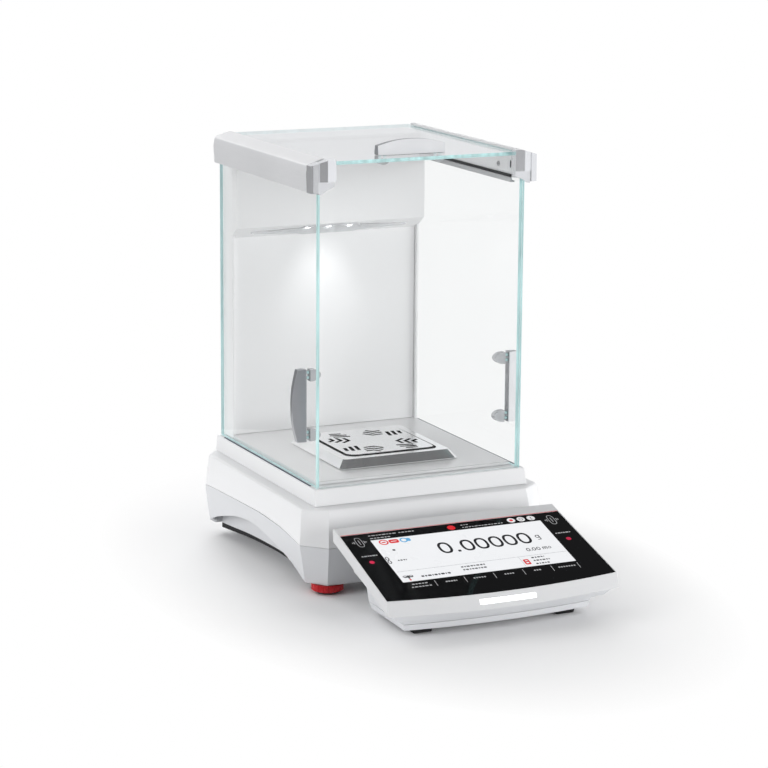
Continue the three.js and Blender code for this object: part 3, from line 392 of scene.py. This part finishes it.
lens_plastic = translucent("lens_plastic", (0.86, 0.87, 0.89), 0.45, 0.12)
lug_plastic = translucent("lug_plastic", (0.60, 0.61, 0.63), 0.25, 0.16)

# The display's picture, the print on the glass and the lamps.
screen_white = lit("screen_white", (0.87, 0.88, 0.90), 0.96, 0.015, 0.04)
ink_dark = surface(
    "ink_dark", (0.010, 0.010, 0.013), (0.3, 0.4), INK_GRAIN, (60, 0.9, 1.1), specular=0.2,
)
ink_grey = surface(
    "ink_grey", (0.055, 0.055, 0.062), (0.3, 0.4), INK_GRAIN, (60, 0.85, 1.15), specular=0.2,
)
rule_grey = surface(
    "rule_grey", (0.36, 0.37, 0.39), (0.3, 0.4), INK_GRAIN, (60, 0.9, 1.1), specular=0.2,
)
mark_grey = lit("mark_grey", (0.46, 0.46, 0.47), 0.75, 0.25, 0.3)
mark_white = lit("mark_white", (0.85, 0.85, 0.86), 0.85, 0.08, 0.1)
mark_red = lit("mark_red", (0.75, 0.012, 0.020), 0.85, 0.15, 0.15)
mark_blue = lit("mark_blue", (0.12, 0.42, 0.72), 0.95, 0.15, 0.15)
sensor_red = lit("sensor_red", (0.62, 0.004, 0.060), 0.8, 0.5, 0.3)
led_white = lit("led_white", (1.0, 1.0, 1.0), 5.0, 0.02)
bar_white = lit("bar_white", (0.98, 0.985, 1.0), 1.5, 0.02)


def both(*names):
    """The left and the right node of each name, which has {} in the place of the side."""
    return [name.format(side) for name in names for side in ("left", "right")]


NODE_MATERIALS = {
    lacquer: ["upper_housing", "shield_plinth"],
    terminal_paint: ["terminal_top_case"],
    lacquer_low: ["lower_housing", "base_tub", "terminal_bottom_case", "terminal_base_cover"],
    panel_paint: ["rear_housing", "inner_panel"],
    rail_paint: ["left_rail"],
    rail_paint_lit_right: ["right_rail"],
    cap_metal: both("{}_rail_cap"),
    plate_steel: ["floor_plate"],
    satin_steel: ["pan_post", *both("{}_door_track"), "data_port"],
    handle_steel_painted_front: ["right_door_handle", "top_door_handle"],
    handle_steel_shaded_copy: ["left_door_handle"],
    bright_steel: ["wind_ring", "calibration_weight"],
    pan_steel_shaded_walls: ["weighing_pan"],
    cast_alloy: ["base_casting", "load_cell"],
    dark_plastic: ["hook_cover", *both("{}_door_hanger"), "power_inlet", "terminal_bracket"],
    sill_groove_shade: both("{}_sill_strip"),
    rubber: both("{}_levelling_pad", "{}_rear_foot", "{}_track_seal", "terminal_{}_foot"),
    red_plastic: both("{}_levelling_wheel"),
    board_green: ["main_board", "lamp_board", "terminal_board"],
    black_gloss: ["terminal_glass"],
    screen_white: ["terminal_display"],
    lug_plastic: both("{}_door_lower_lug", "{}_door_upper_lug", "top_door_{}_lug"),
    lens_plastic: ["lamp_lens"],
    bar_white: ["terminal_light_bar"],
    pane("glass_front", "Y"): ["front_glass"],
    pane("glass_side", "X"): both("{}_door_glass"),
    pane("glass_top", "Z", gloss=1.5): ["top_door_glass"],
}

# Width in mm of the rounding on each node's edges.
BEVEL_GROUPS = {
    0.15: [*both("{}_door_track"), "terminal_glass"],
    0.2: ["floor_plate", "main_board", "lamp_board", "terminal_board"],
    0.22: ["weighing_pan"],
    0.3: [
        "wind_ring", "data_port", "lamp_lens", "terminal_light_bar",
        *both("{}_levelling_pad", "{}_door_hanger"),
    ],
    0.35: both("{}_levelling_wheel"),
    0.4: ["load_cell", "pan_post"],
    0.5: [
        "hook_cover", "power_inlet", "terminal_bracket",
        *both("{}_rail", "{}_rear_foot", "{}_door_lower_lug", "{}_door_upper_lug", "top_door_{}_lug"),
    ],
    0.6: [
        "shield_plinth", "base_casting", "terminal_bottom_case", "terminal_base_cover",
        *both("{}_rail_cap", "terminal_{}_foot"),
    ],
    0.7: ["inner_panel", "terminal_top_case"],
    0.8: ["calibration_weight", "base_tub"],
    0.9: ["top_door_handle", *both("{}_door_handle")],
    1.0: ["rear_housing"],
    1.2: ["upper_housing", "lower_housing"],
}
BEVELS = {name: width for width, names in BEVEL_GROUPS.items() for name in names}


def smooth_group(angle):
    """Geometry nodes that shade a mesh smooth, apart from edges sharper than angle."""
    g = bpy.data.node_groups.new("smooth_by_angle", "GeometryNodeTree")
    g.interface.new_socket("Geometry", in_out="INPUT", socket_type="NodeSocketGeometry")
    g.interface.new_socket("Geometry", in_out="OUTPUT", socket_type="NodeSocketGeometry")
    start = g.nodes.new("NodeGroupInput")
    end = g.nodes.new("NodeGroupOutput")
    faces = g.nodes.new("GeometryNodeSetShadeSmooth")
    faces.domain = "FACE"
    sharp = g.nodes.new("GeometryNodeSetShadeSmooth")
    sharp.domain = "EDGE"
    sharp.inputs["Shade Smooth"].default_value = False
    edge = g.nodes.new("GeometryNodeInputMeshEdgeAngle")
    over = g.nodes.new("FunctionNodeCompare")
    over.data_type = "FLOAT"
    over.operation = "GREATER_THAN"
    over.inputs[1].default_value = angle
    g.links.new(edge.outputs["Unsigned Angle"], over.inputs[0])
    g.links.new(start.outputs[0], faces.inputs["Geometry"])
    g.links.new(faces.outputs["Geometry"], sharp.inputs["Geometry"])
    g.links.new(over.outputs["Result"], sharp.inputs["Selection"])
    g.links.new(sharp.outputs["Geometry"], end.inputs[0])
    return g


SMOOTH = smooth_group(math.radians(32))
BEVEL_FROM = math.radians(24)           # edges sharper than this are rounded
FLAT_WITHIN = math.radians(0.4)         # faces closer than this to one plane are joined first
WELD_WITHIN = 2e-6


def soften(obj, width_mm, segments=3):
    """Rounds the hard edges of a faceted mesh without touching the mesh itself."""
    weld = obj.modifiers.new("weld", "WELD")
    weld.merge_threshold = WELD_WITHIN
    flat = obj.modifiers.new("flat", "DECIMATE")
    flat.decimate_type = "DISSOLVE"
    flat.angle_limit = FLAT_WITHIN
    if width_mm:
        bevel = obj.modifiers.new("bevel", "BEVEL")
        bevel.width = width_mm / 1000
        bevel.segments = segments
        bevel.limit_method = "ANGLE"
        bevel.angle_limit = BEVEL_FROM
        bevel.use_clamp_overlap = True
    smooth = obj.modifiers.new("smooth", "NODES")
    smooth.node_group = SMOOTH
    weighted = obj.modifiers.new("weighted", "WEIGHTED_NORMAL")
    weighted.mode = "FACE_AREA"
    weighted.weight = 50
    weighted.keep_sharp = True


for material, names in NODE_MATERIALS.items():
    for name in names:
        mesh_object = nodes[name]
        if not mesh_object.material_slots:
            mesh_object.data.materials.append(material)
        for slot_entry in mesh_object.material_slots:
            slot_entry.material = material
for name in nodes:
    if name.endswith("_glass") and name != "terminal_glass":
        continue
    soften(nodes[name], BEVELS.get(name, 0))

# ---------------------------------------------------------------- tools for the small pieces


def piece(name, shape, body, material, bevel_mm=0.0, smooth=True):
    """A new mesh piece. Its shape is vertices, in metres in the frame, and faces."""
    verts, faces = shape
    mesh = bpy.data.meshes.new(name)
    mesh.from_pydata([tuple(v) for v in verts], [], faces)
    mesh.validate()
    mesh.update()
    obj = bpy.data.objects.new(name, mesh)
    bpy.context.scene.collection.objects.link(obj)
    mesh.materials.append(material)
    if smooth:
        soften(obj, bevel_mm, 2)
    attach(obj, body)
    return obj


def circle(count):
    """Angles of that many even steps round a circle."""
    return [2 * math.pi * i / count for i in range(count)]


def prism(outline, low, high, place):
    """Vertices and faces of a straight-sided solid over an outline.

    The outline is in mm, and the matrix puts it in its place in the frame, in metres.
    """
    n = len(outline)
    verts = [place @ Vector((x, y, z)) for z in (low, high) for x, y in outline]
    faces = [tuple(range(n))[::-1], tuple(range(n, 2 * n))]
    faces += [(i, (i + 1) % n, (i + 1) % n + n, i + n) for i in range(n)]
    return verts, faces


def ring_prism(outer, inner, low, high, place):
    """The same with a hole through it. Both outlines have the same number of points."""
    n = len(outer)
    verts = []
    for z in (low, high):
        for outline in (outer, inner):
            verts += [place @ Vector((x, y, z)) for x, y in outline]
    faces = []
    for i in range(n):
        j = (i + 1) % n
        faces.append((i, j, 2 * n + j, 2 * n + i))
        faces.append((n + j, n + i, 3 * n + i, 3 * n + j))
        faces.append((2 * n + i, 2 * n + j, 3 * n + j, 3 * n + i))
        faces.append((j, i, n + i, n + j))
    return verts, faces


def merged(parts):
    """Several solids as the vertices and faces of one."""
    verts, faces = [], []
    for v, f in parts:
        base = len(verts)
        verts += v
        faces += [tuple(i + base for i in face) for face in f]
    return verts, faces


def oval(cx, cy, rx, ry, count=28, power=2.0):
    """Ellipse outline. A power above 2 makes it squarer."""
    pts = []
    for a in circle(count):
        c, s = math.cos(a), math.sin(a)
        pts.append((
            cx + rx * math.copysign(abs(c) ** (2 / power), c),
            cy + ry * math.copysign(abs(s) ** (2 / power), s),
        ))
    return pts


def rounded(x0, x1, y0, y1, r, steps=4):
    """Rectangle outline with round corners."""
    pts = []
    corners = (
        (x1 - r, y0 + r, -90),
        (x1 - r, y1 - r, 0),
        (x0 + r, y1 - r, 90),
        (x0 + r, y0 + r, 180),
    )
    for cx, cy, start in corners:
        for i in range(steps + 1):
            a = math.radians(start + 90 * i / steps)
            pts.append((cx + r * math.cos(a), cy + r * math.sin(a)))
    return pts


# ---------------------------------------------------------------- the terminal's display and print

ON_TERMINAL = Matrix.Translation(mm(*TERMINAL_EDGE)) @ Matrix.Rotation(TERMINAL_TILT, 4, "X") @ MM


def screen_layer(name, parts, level, material, thickness=LAYER):
    """Flat shapes lying on the terminal's glass, level counting the layers from it.

    A part is one outline, or an outer and an inner outline. X runs across the glass and Y up its slope from
    the front edge, in mm.
    """
    z = level * LAYER
    solids = []
    for part in parts:
        if isinstance(part[0], tuple) and isinstance(part[0][0], tuple):
            solids.append(ring_prism(part[0], part[1], z, z + thickness, ON_TERMINAL))
        else:
            solids.append(prism(part, z, z + thickness, ON_TERMINAL))
    return piece(name, merged(solids), "terminal", material, smooth=False)


def ring(cx, cy, rx, ry, stroke, count=32, power=2.0):
    """An oval stroke: its outer and inner outline."""
    outer = oval(cx, cy, rx, ry, count, power)
    inner = oval(cx, cy, rx - stroke, ry - stroke, count, power)
    return (tuple(outer), tuple(inner))


def bar(x0, x1, y0, y1, r=None):
    """A short bar with round corners, almost fully round unless a radius is given."""
    r = min((x1 - x0), (y1 - y0)) * 0.45 if r is None else r
    return rounded(x0, x1, y0, y1, r, 3)


def dashes(x0, x1, y, height, widths, gap=0.8):
    """A row of short bars that stands for a line of small print."""
    row = []
    x = x0
    while x < x1 - 0.6:
        w = min(widths[len(row) % len(widths)], x1 - x)
        row.append(bar(x, x + w, y - height / 2, y + height / 2, height * 0.3))
        x += w + gap
    return row


def print_rows(rows):
    """The bars of several lines of small print, each line given as dashes takes it."""
    return [dash for row in rows for dash in dashes(*row)]


def draw_reading():
    """The reading of zeros, its unit and the smaller reading below it."""
    y = 66.2
    zeros = [ring(x, y, 5.9, 8.5, 2.3, 40, 2.4) for x in (-22.0, -1.1, 12.2, 25.6, 38.9, 52.3)]
    point = bar(-12.9, -10.1, 57.9, 60.7, 0.6)
    screen_layer("screen_digits", [*zeros, point], 3, ink_dark)
    unit = [
        ring(65, 66.4, 2.0, 2.3, 0.8, 24),
        bar(66.3, 67.1, 61.6, 68.6, 0.2),
        bar(63.6, 66.8, 61.3, 62.1, 0.25),
    ]
    screen_layer("screen_unit", unit, 3, ink_dark)
    small = [ring(x, 48.4, 1.75, 2.4, 0.8, 20, 2.4) for x in (47.4, 52.8, 57.0)]
    small.append(bar(49.6, 50.6, 46.0, 47.0, 0.2))
    small += [bar(x, x + 0.8, 46.4, 49.8, 0.2) for x in (61.0, 62.8, 64.6)]
    small += [bar(61.0, 65.4, 49.2, 50.0, 0.2), ring(67.6, 48.2, 1.4, 1.7, 0.6, 16)]
    screen_layer("screen_small_digits", small, 3, ink_grey)


def draw_picture():
    """The small print, rules and coloured marks of the lit picture."""
    info = print_rows((
        # x from, x to, y, height, widths of the words
        (-61, -34, 29.2, 2.2, (2.6, 1.8, 3.2, 1.2)),
        (-22, 1, 35.2, 1.8, (2.2, 1.4, 2.8)),
        (-22, 0, 30.8, 1.8, (1.8, 2.6, 1.4)),
        (44, 56, 36, 1.7, (2.4, 1.6)),
        (44, 59, 31.4, 1.8, (1.6, 2.6)),
        (44, 57, 26.6, 1.8, (2.2, 1.4)),
        (-70, -62, 56, 1.8, (1.4, 2.0)),
    ))
    info += [bar(-67.8, -65.2, 70.8, 73.2, 1.0)]
    info += [bar(-76, -68, 29.8, 31.2, 0.3), bar(-72.9, -71.3, 27.8, 32.8, 0.3)]
    info += [ring(-74.8, 31.6, 2.0, 1.4, 0.7, 16), ring(-69.4, 31.6, 2.0, 1.4, 0.7, 16)]
    info += [ring(-77.9, 60.4, 1.8, 2.8, 0.9, 16), ring(-77.9, 55.0, 1.8, 2.6, 0.9, 16)]
    screen_layer("screen_print", info, 3, ink_grey)
    rules = [bar(-79, 79, 39.3, 39.6, 0.1), bar(33.2, 33.5, 25, 38.6, 0.08)]
    screen_layer("screen_rule", rules, 3, rule_grey)
    red_marks = [
        ring(-70, 85, 4.2, 4.0, 1.3, 28),
        bar(-71.8, -68.2, 84.2, 85.8, 0.5),
        bar(-65.2, -56.2, 82.2, 87.8, 2.0),
        bar(34.8, 40.0, 26.8, 34.8, 1.2),
        bar(-72.9, -71.3, 25.2, 27.4, 0.4),
    ]
    screen_layer("screen_red_marks", red_marks, 3, mark_red)
    blue_marks = [ring(-51.6, 85, 3.6, 3.6, 1.4, 24), bar(-49.4, -45.4, 82.6, 87.4, 1.6)]
    screen_layer("screen_blue_marks", blue_marks, 3, mark_blue)
    details = [
        bar(-63.4, -58.2, 84.6, 85.4, 0.2),
        bar(36.2, 38.6, 32.0, 33.2, 0.3),
        bar(36.2, 38.6, 28.6, 30.4, 0.3),
    ]
    screen_layer("screen_mark_details", details, 5, screen_white)


def draw_margins():
    """The header, the key row and its slanted dividers on the black margins."""
    key_spans = ((-44.5, -34), (-19, -7), (9.5, 19), (37, 44.5), (60, 76))
    words = print_rows((
        (-79, -53, 97, 1.3, (2.2, 3.4, 1.6)),
        (-51, -36, 97, 1.3, (1.8, 2.8)),
        (-79, -60, 92.8, 1.3, (3.0, 1.8, 2.4)),
        (7, 15, 97, 1.1, (2.0, 1.4)),
        (7, 46, 93.2, 1.1, (1.6, 3.0, 2.2)),
        (-74, -60, 19.4, 1.4, (2.4, 1.8)),
        (-76, -57, 15.2, 1.4, (1.8, 3.0, 2.2)),
        *((x0, x1, 17.4, 1.7, (1.7,), 0.7) for x0, x1 in key_spans),
    ))
    slants = []
    for x in (-53.5, -26.5, 0.5, 27.5, 54.2, 79.0):
        slants.append([(x - 0.25, 13.2), (x + 0.25, 13.2), (x + 0.55, 21.2), (x + 0.05, 21.2)])
    screen_layer("glass_print", words + slants, 1, mark_grey)


def draw_sensors():
    """The two touch-free sensors: a hand sign with waves on each side, a word and a red window."""
    signs = []
    for cx in (-90.4, 90.6):
        signs.append(ring(cx, 89, 3.0, 7.2, 0.55, 32, 3.2))
        signs.append(bar(cx - 0.3, cx + 0.3, 85.4, 92.6, 0.2))
        for side in (-1, 1):
            for k in range(2):
                x = cx + side * (4.6 + 1.5 * k)
                h = 3.4 - 1.6 * k
                signs.append(bar(x - 0.35, x + 0.35, 89 - h / 2, 89 + h / 2, 0.25))
        signs += dashes(cx - 7.4, cx + 7.4, 67.6, 1.5, (1.6, 2.8, 1.2), 0.6)
    screen_layer("sensor_print", signs, 1, mark_grey)
    windows = [oval(-92.6, 58, 2.3, 2.3, 24), oval(90.8, 57.6, 2.3, 2.3, 24)]
    screen_layer("sensor_windows", windows, 1, sensor_red)


def draw_header_buttons():
    """The status light and the three round buttons at the top of the glass."""
    y = 95.4
    screen_layer("status_light", [oval(-2.6, 95, 3.6, 3.4, 28)], 1, mark_red)
    discs = [oval(x, y, 3.7, 3.5, 28) for x in (54.6, 64.0, 73.6)]
    screen_layer("header_buttons", discs, 1, mark_white)
    screen_layer("header_button_dot", [oval(54.6, y, 1.7, 1.6, 20)], 3, mark_red)
    marks = [
        ring(64.0, y, 2.0, 1.9, 0.5, 20),
        bar(73.2, 74.0, 94.4, 97.4, 0.3),
        bar(72.6, 74.6, 92.9, 93.6, 0.3),
    ]
    screen_layer("header_button_marks", marks, 3, ink_grey)


screen_layer("screen_picture", [rounded(-80, 80, 23.6, 90, 0.4, 2)], 1, screen_white)
draw_reading()
draw_picture()
draw_margins()
draw_sensors()
draw_header_buttons()
# A thin red line where the glass meets the rear bezel.
red_line = [(-102.5, 101.25), (102.5, 101.25), (102.5, 101.75), (-102.5, 101.75)]
screen_layer("terminal_red_line", [red_line], 14, mark_red, 0.03)

# ---------------------------------------------------------------- screws, stops, painted shade strips and plate, lamp

SCREW_SIDES = 24
SOCKET_SHARE = 0.46             # socket's reach as a share of the head's radius


def screw(name, at, axis, radius, body, height=0.9):
    """Steel button-head screw: a domed head with a hexagonal socket, its axis pointing out of the surface."""
    turn = Vector((0, 0, 1)).rotation_difference(Vector(axis)).to_matrix().to_4x4()
    place = Matrix.Translation(at) @ turn @ MM
    dome = [(1.0, 0.0), (1.0, height * 0.35), (0.86, height * 0.78), (0.62, height)]
    verts, faces = [], []
    for share, z in dome:
        for a in circle(SCREW_SIDES):
            verts.append(place @ Vector((radius * share * math.cos(a), radius * share * math.sin(a), z)))
    for z in (height, height * 0.3):
        for a in circle(SCREW_SIDES):
            k = radius * SOCKET_SHARE / max(abs(math.cos((a % (math.pi / 3)) - math.pi / 6)), 0.5)
            verts.append(place @ Vector((k * 0.9 * math.cos(a), k * 0.9 * math.sin(a), z)))
    rows = len(verts) // SCREW_SIDES
    for r in range(rows - 1):
        for i in range(SCREW_SIDES):
            j = (i + 1) % SCREW_SIDES
            low, high = r * SCREW_SIDES, (r + 1) * SCREW_SIDES
            faces.append((low + i, low + j, high + j, high + i))
    faces.append(tuple(range(SCREW_SIDES))[::-1])
    faces.append(tuple(range((rows - 1) * SCREW_SIDES, rows * SCREW_SIDES)))
    return piece(name, (verts, faces), body, satin_steel)


# Where the heads of the screws and stops begin, in mm.
RAIL_FACE_X = 89.15
TOWER_REAR_Y = 227.6
TERMINAL_UNDERSIDE_Z = 4.9
SIDES = (("left", -1), ("right", 1))

for side, s in SIDES:
    screw(f"{side}_rail_screw", mm(s * RAIL_FACE_X, 36.7, 354.3), (-s, 0, 0), 2.3, "base")
    inward = Matrix.Rotation(-s * math.pi / 2, 4, "Y")
    on_rail = Matrix.Translation(mm(s * RAIL_FACE_X, 14.1, 356.5)) @ inward @ MM
    stop = prism(rounded(-3.2, 3.2, -1.0, 1.0, 0.95), 0, 0.25, on_rail)
    piece(f"{side}_rail_stop", stop, "base", dark_plastic, 0.1)
    for k, z in enumerate((120, 310)):
        screw(f"{side}_tower_screw_{k}", mm(s * 78, TOWER_REAR_Y, z), (0, 1, 0), 2.6, "base")
    screw(f"{side}_terminal_screw", mm(s * 40, -84, TERMINAL_UNDERSIDE_Z), (0, 0, -1), 2.2, "terminal", 0.5)

# The strips along the tub are dark sheets of painted shade, taller towards the back.
STRIP_PROUD, STRIP_SUNK = 0.0002, 0.0006        # how far the tub's strip stands out of and into the wall
STRIP_DROP = 0.0001                             # and hangs below its edge
STRIP_FRONT, STRIP_GAIN = 0.0012, 0.0030        # height at the front, and how much it gains towards the back


def tub_edge():
    """The lower edge of the tub's right wall as (y, z), from front to back, and the wall's x."""
    tub = nodes["base_tub"]
    points = [tub.matrix_world @ v.co for v in tub.data.vertices]
    wall_x = max(p.x for p in points)
    lowest = {}
    for point in points:
        if point.x > wall_x - 1e-5:
            key = round(point.y, 5)
            lowest[key] = min(point.z, lowest.get(key, 1.0))
    return sorted(lowest.items()), wall_x


def tub_painted_shade_strip(side, s):
    """Black strip along the tub's lower edge, painted shade that stands for the deep shade under the base."""
    edge, wall_x = tub_edge()
    front_y, rear_y = edge[0][0], edge[-1][0]
    verts, faces = [], []
    for y, z in edge:
        top = STRIP_FRONT + STRIP_GAIN * (y - front_y) / (rear_y - front_y)
        section = (
            (STRIP_PROUD, -STRIP_DROP),
            (STRIP_PROUD, top),
            (-STRIP_SUNK, top),
            (-STRIP_SUNK, -STRIP_DROP),
        )
        verts += [Vector((s * (wall_x + x), y, z + height)) for x, height in section]
    for k in range(len(edge) - 1):
        for c in range(4):
            d = (c + 1) % 4
            faces.append((4 * k + c, 4 * k + d, 4 * k + 4 + d, 4 * k + 4 + c))
    last = 4 * (len(edge) - 1)
    faces += [(3, 2, 1, 0), (last, last + 1, last + 2, last + 3)]
    if s < 0:
        faces = [face[::-1] for face in faces]
    piece(f"{side}_tub_painted_shade_strip", (verts, faces), "base", rubber)


for side, s in SIDES:
    tub_painted_shade_strip(side, s)

# Dark plate just under the grid pan, with a round hole in its middle: painted shade, a dark sheet that
# darkens the slots where there is only shade under the pan.
UNDER_PAN = Matrix.Translation(mm(0, 99, 0)) @ MM
SHADE_PLATE_BEVEL = 0.0003          # in mm, so its edges stay all but sharp
plate_edge = oval(0, 0, 41.2, 41.2, 48, 7.0)
plate_hole = oval(0, 0, 10, 10, 48)
shade_plate = ring_prism(plate_edge, plate_hole, 97.0, 98.4, UNDER_PAN)
piece("pan_painted_shade_plate", shade_plate, "pan", dark_plastic, SHADE_PLATE_BEVEL)

# The lamp's three emitters, seen through the lens. The lens lies on a slope that rises 10.5 mm over 14 mm.
LAMP_SLOPE = math.atan2(10.5, 14.0)
up_slope = Vector((0, -math.cos(LAMP_SLOPE), math.sin(LAMP_SLOPE)))
off_slope = Vector((0, -math.sin(LAMP_SLOPE), -math.cos(LAMP_SLOPE)))
slope_turn = Matrix((Vector((1, 0, 0)), up_slope, off_slope)).transposed().to_4x4()
ON_SLOPE = Matrix.Translation(mm(0, 204, 275)) @ slope_turn @ MM
emitters = [prism(oval(x, 9, 2.8, 1.5, 24), -1.2, -0.9, ON_SLOPE) for x in (-21, 0, 21)]
piece("lamp_emitters", merged(emitters), "base", led_white, smooth=False)

# ---------------------------------------------------------------- stage, light and camera

FLOOR_RADIUS = 0.62
FLOOR_SIDES = 96
FLOOR_DROP = 0.0002             # keeps the floor just under the feet
# Painted light: the fade's glow is measured from the footprint, so it shapes the shade round the object.
FADE_X, FADE_Y = 0.115, 0.197           # about half the width and depth of the footprint
FADE_FROM, FADE_TO = 1.15, 2.1          # the fade's ends, as multiples of those


def stage_floor():
    """Pale round patch of floor that fades to the white of the backdrop away from the object. The fade is
    painted light: its white glow rises with distance from the footprint and so sets how the shade round the
    object falls off.
    """
    n = new_material("studio_floor")
    p = n.add("BsdfPrincipled")
    cloud = n.noise(n.coords(), 3.0, 3.0)
    n.link(n.mix(n.remap(cloud, 0, 1), (0.90, 0.90, 0.905), (0.915, 0.915, 0.92)), p.inputs["Base Color"])
    p.inputs["Roughness"].default_value = 0.75
    p.inputs["Specular IOR Level"].default_value = 0.15
    split = n.add("SeparateXYZ")
    n.link(n.coords(), split.inputs["Vector"])
    across = n.math("DIVIDE", split.outputs["X"], FADE_X)
    along = n.math("DIVIDE", split.outputs["Y"], FADE_Y)
    away = n.math("SQRT", n.math("ADD", n.math("POWER", across, 2), n.math("POWER", along, 2)))
    # Painted light: white glow mixed in with distance from the footprint.
    glow = n.add("Emission")
    glow.inputs["Color"].default_value = (1, 1, 1, 1)
    glow.inputs["Strength"].default_value = 1.0
    fade = n.add("MixShader")
    n.link(n.remap(away, 0.0, 1.0, FADE_FROM, FADE_TO), fade.inputs["Fac"])
    n.link(p.outputs["BSDF"], fade.inputs[1])
    n.link(glow.outputs["Emission"], fade.inputs[2])
    n.link(fade.outputs["Shader"], n.out.inputs["Surface"])
    mesh = bpy.data.meshes.new("floor")
    rim = [(FLOOR_RADIUS * math.cos(a), FLOOR_RADIUS * math.sin(a), 0) for a in circle(FLOOR_SIDES)]
    mesh.from_pydata(rim, [], [tuple(range(FLOOR_SIDES))])
    mesh.update()
    mesh.materials.append(n.owner)
    obj = bpy.data.objects.new("floor", mesh)
    bpy.context.scene.collection.objects.link(obj)
    obj.location.z = -FLOOR_DROP


def place_light(data, at, target):
    """Puts a light at one point, turned towards another, and keeps its own shape out of reflections."""
    obj = bpy.data.objects.new(data.name, data)
    bpy.context.scene.collection.objects.link(obj)
    obj.location = at
    obj.rotation_euler = (Vector(target) - Vector(at)).to_track_quat("-Z", "Y").to_euler()
    obj.visible_glossy = False


LIGHT_TARGET = (0, 0, 0.15)
LIGHTS = (
    # name, place, size in metres, watts
    ("top_light", (-0.2, 0.3, 2.6), 2.4, 12.0),
    ("key_light", (-1.3, 1.5, 2.0), 1.2, 22.0),
    ("left_light", (-2.5, 0.2, 0.7), 1.6, 36.5),
    ("right_light", (2.3, -1.0, 0.6), 1.4, 35.0),
    ("back_light", (0.9, 2.6, 1.2), 1.8, 48.0),
    ("front_light", (0.7, -2.8, 0.55), 1.4, 43.0),
)
LAMP_WATTS = 0.13
LAMP_AT, LAMP_TARGET = mm(-6, 150, 298), mm(-6, 204, 212)
LAMP_CONE = math.radians(58)
LAMP_SIZE = 0.012


def set_lights():
    """Six softboxes round the object, and the beam that the shield's lamp throws on the inner panel."""
    for name, at, size, watts in LIGHTS:
        softbox = bpy.data.lights.new(name, "AREA")
        softbox.energy = watts
        softbox.shape = "SQUARE"
        softbox.size = size
        place_light(softbox, at, LIGHT_TARGET)
    lamp = bpy.data.lights.new("lamp_beam", "SPOT")
    lamp.energy = LAMP_WATTS
    lamp.spot_size = LAMP_CONE
    lamp.spot_blend = 1.0
    lamp.shadow_soft_size = LAMP_SIZE
    place_light(lamp, LAMP_AT, LAMP_TARGET)


SKY_SOFT = 0.1                  # light from all round
SKY_LOW = 0.95                  # what shiny surfaces mirror near the horizon
SKY_LOW_LEFT = 0.3              # the same on the left, at and below the horizon
SKY_HIGH_FRONT = 0.15           # and higher up, in front of the object
SKY_HIGH_BACK = 0.28            # and behind it


def build_world():
    """White to the camera, dim for soft light, and a graded surround for reflections."""
    world = bpy.data.worlds.new("studio")
    n = Nodes(world, "OutputWorld")
    direction = n.add("SeparateXYZ")
    n.link(n.add("TexCoord").outputs["Generated"], direction.inputs["Vector"])
    height = n.remap(direction.outputs["Z"], 0.0, 1.0, 0.28, 0.62)
    behind = n.remap(direction.outputs["Y"], SKY_HIGH_FRONT, SKY_HIGH_BACK, -0.1, 0.5)
    mirrored = n.add("Mix", data_type="FLOAT")
    n.link(height, mirrored.inputs[0])
    leftward = n.remap(direction.outputs["X"], SKY_LOW_LEFT, SKY_LOW, 0.05, 0.55)
    low = n.add("Mix", data_type="FLOAT")
    n.link(n.remap(direction.outputs["Z"], 0.0, 1.0, 0.05, 0.2), low.inputs[0])
    n.link(leftward, low.inputs[2])
    low.inputs[3].default_value = SKY_LOW
    n.link(low.outputs[0], mirrored.inputs[2])
    n.link(behind, mirrored.inputs[3])
    path = n.add("LightPath")
    strength = n.add("Mix", data_type="FLOAT")
    n.link(path.outputs["Is Glossy Ray"], strength.inputs[0])
    strength.inputs[2].default_value = SKY_SOFT
    n.link(mirrored.outputs[0], strength.inputs[3])
    sky = n.add("Background")
    sky.inputs["Color"].default_value = (0.97, 0.98, 1.0, 1)
    n.link(strength.outputs[0], sky.inputs["Strength"])
    seen = n.add("Background")
    seen.inputs["Color"].default_value = (1, 1, 1, 1)
    seen.inputs["Strength"].default_value = 1.0
    pick = n.add("MixShader")
    n.link(path.outputs["Is Camera Ray"], pick.inputs["Fac"])
    n.link(sky.outputs["Background"], pick.inputs[1])
    n.link(seen.outputs["Background"], pick.inputs[2])
    n.link(pick.outputs["Shader"], n.out.inputs["Surface"])
    bpy.context.scene.world = world


CAMERA_AT = mm(-989.494, -2015.729, 658.474)
CAMERA_ANGLES = (0.4416844, 0.2128841, -0.0075208)      # azimuth, elevation and roll in radians
CAMERA_SENSOR = 36              # width in mm
CAMERA_LENS = 125.86790625      # focal length in mm


def set_camera():
    """Looks down on the front of the balance from its left, as azimuth, elevation and roll say."""
    azimuth, elevation, roll = CAMERA_ANGLES
    flat = math.cos(elevation)
    forward = Vector((math.sin(azimuth) * flat, math.cos(azimuth) * flat, -math.sin(elevation)))
    level = Vector((math.cos(azimuth), -math.sin(azimuth), 0))
    down = forward.cross(level)
    right = math.cos(roll) * level + math.sin(roll) * down
    low = -math.sin(roll) * level + math.cos(roll) * down
    data = bpy.data.cameras.new("camera")
    data.lens = CAMERA_LENS
    data.sensor_width = CAMERA_SENSOR
    data.clip_start = 0.05
    data.clip_end = 200
    camera = bpy.data.objects.new("camera", data)
    bpy.context.scene.collection.objects.link(camera)
    turn = Matrix((right, -low, -forward)).transposed().to_4x4()
    camera.matrix_world = Matrix.Translation(CAMERA_AT) @ turn
    bpy.context.scene.camera = camera


stage_floor()
set_lights()
build_world()
set_camera()

bpy.context.scene.view_settings.view_transform = "Standard"
bpy.context.scene.view_settings.look = "None"
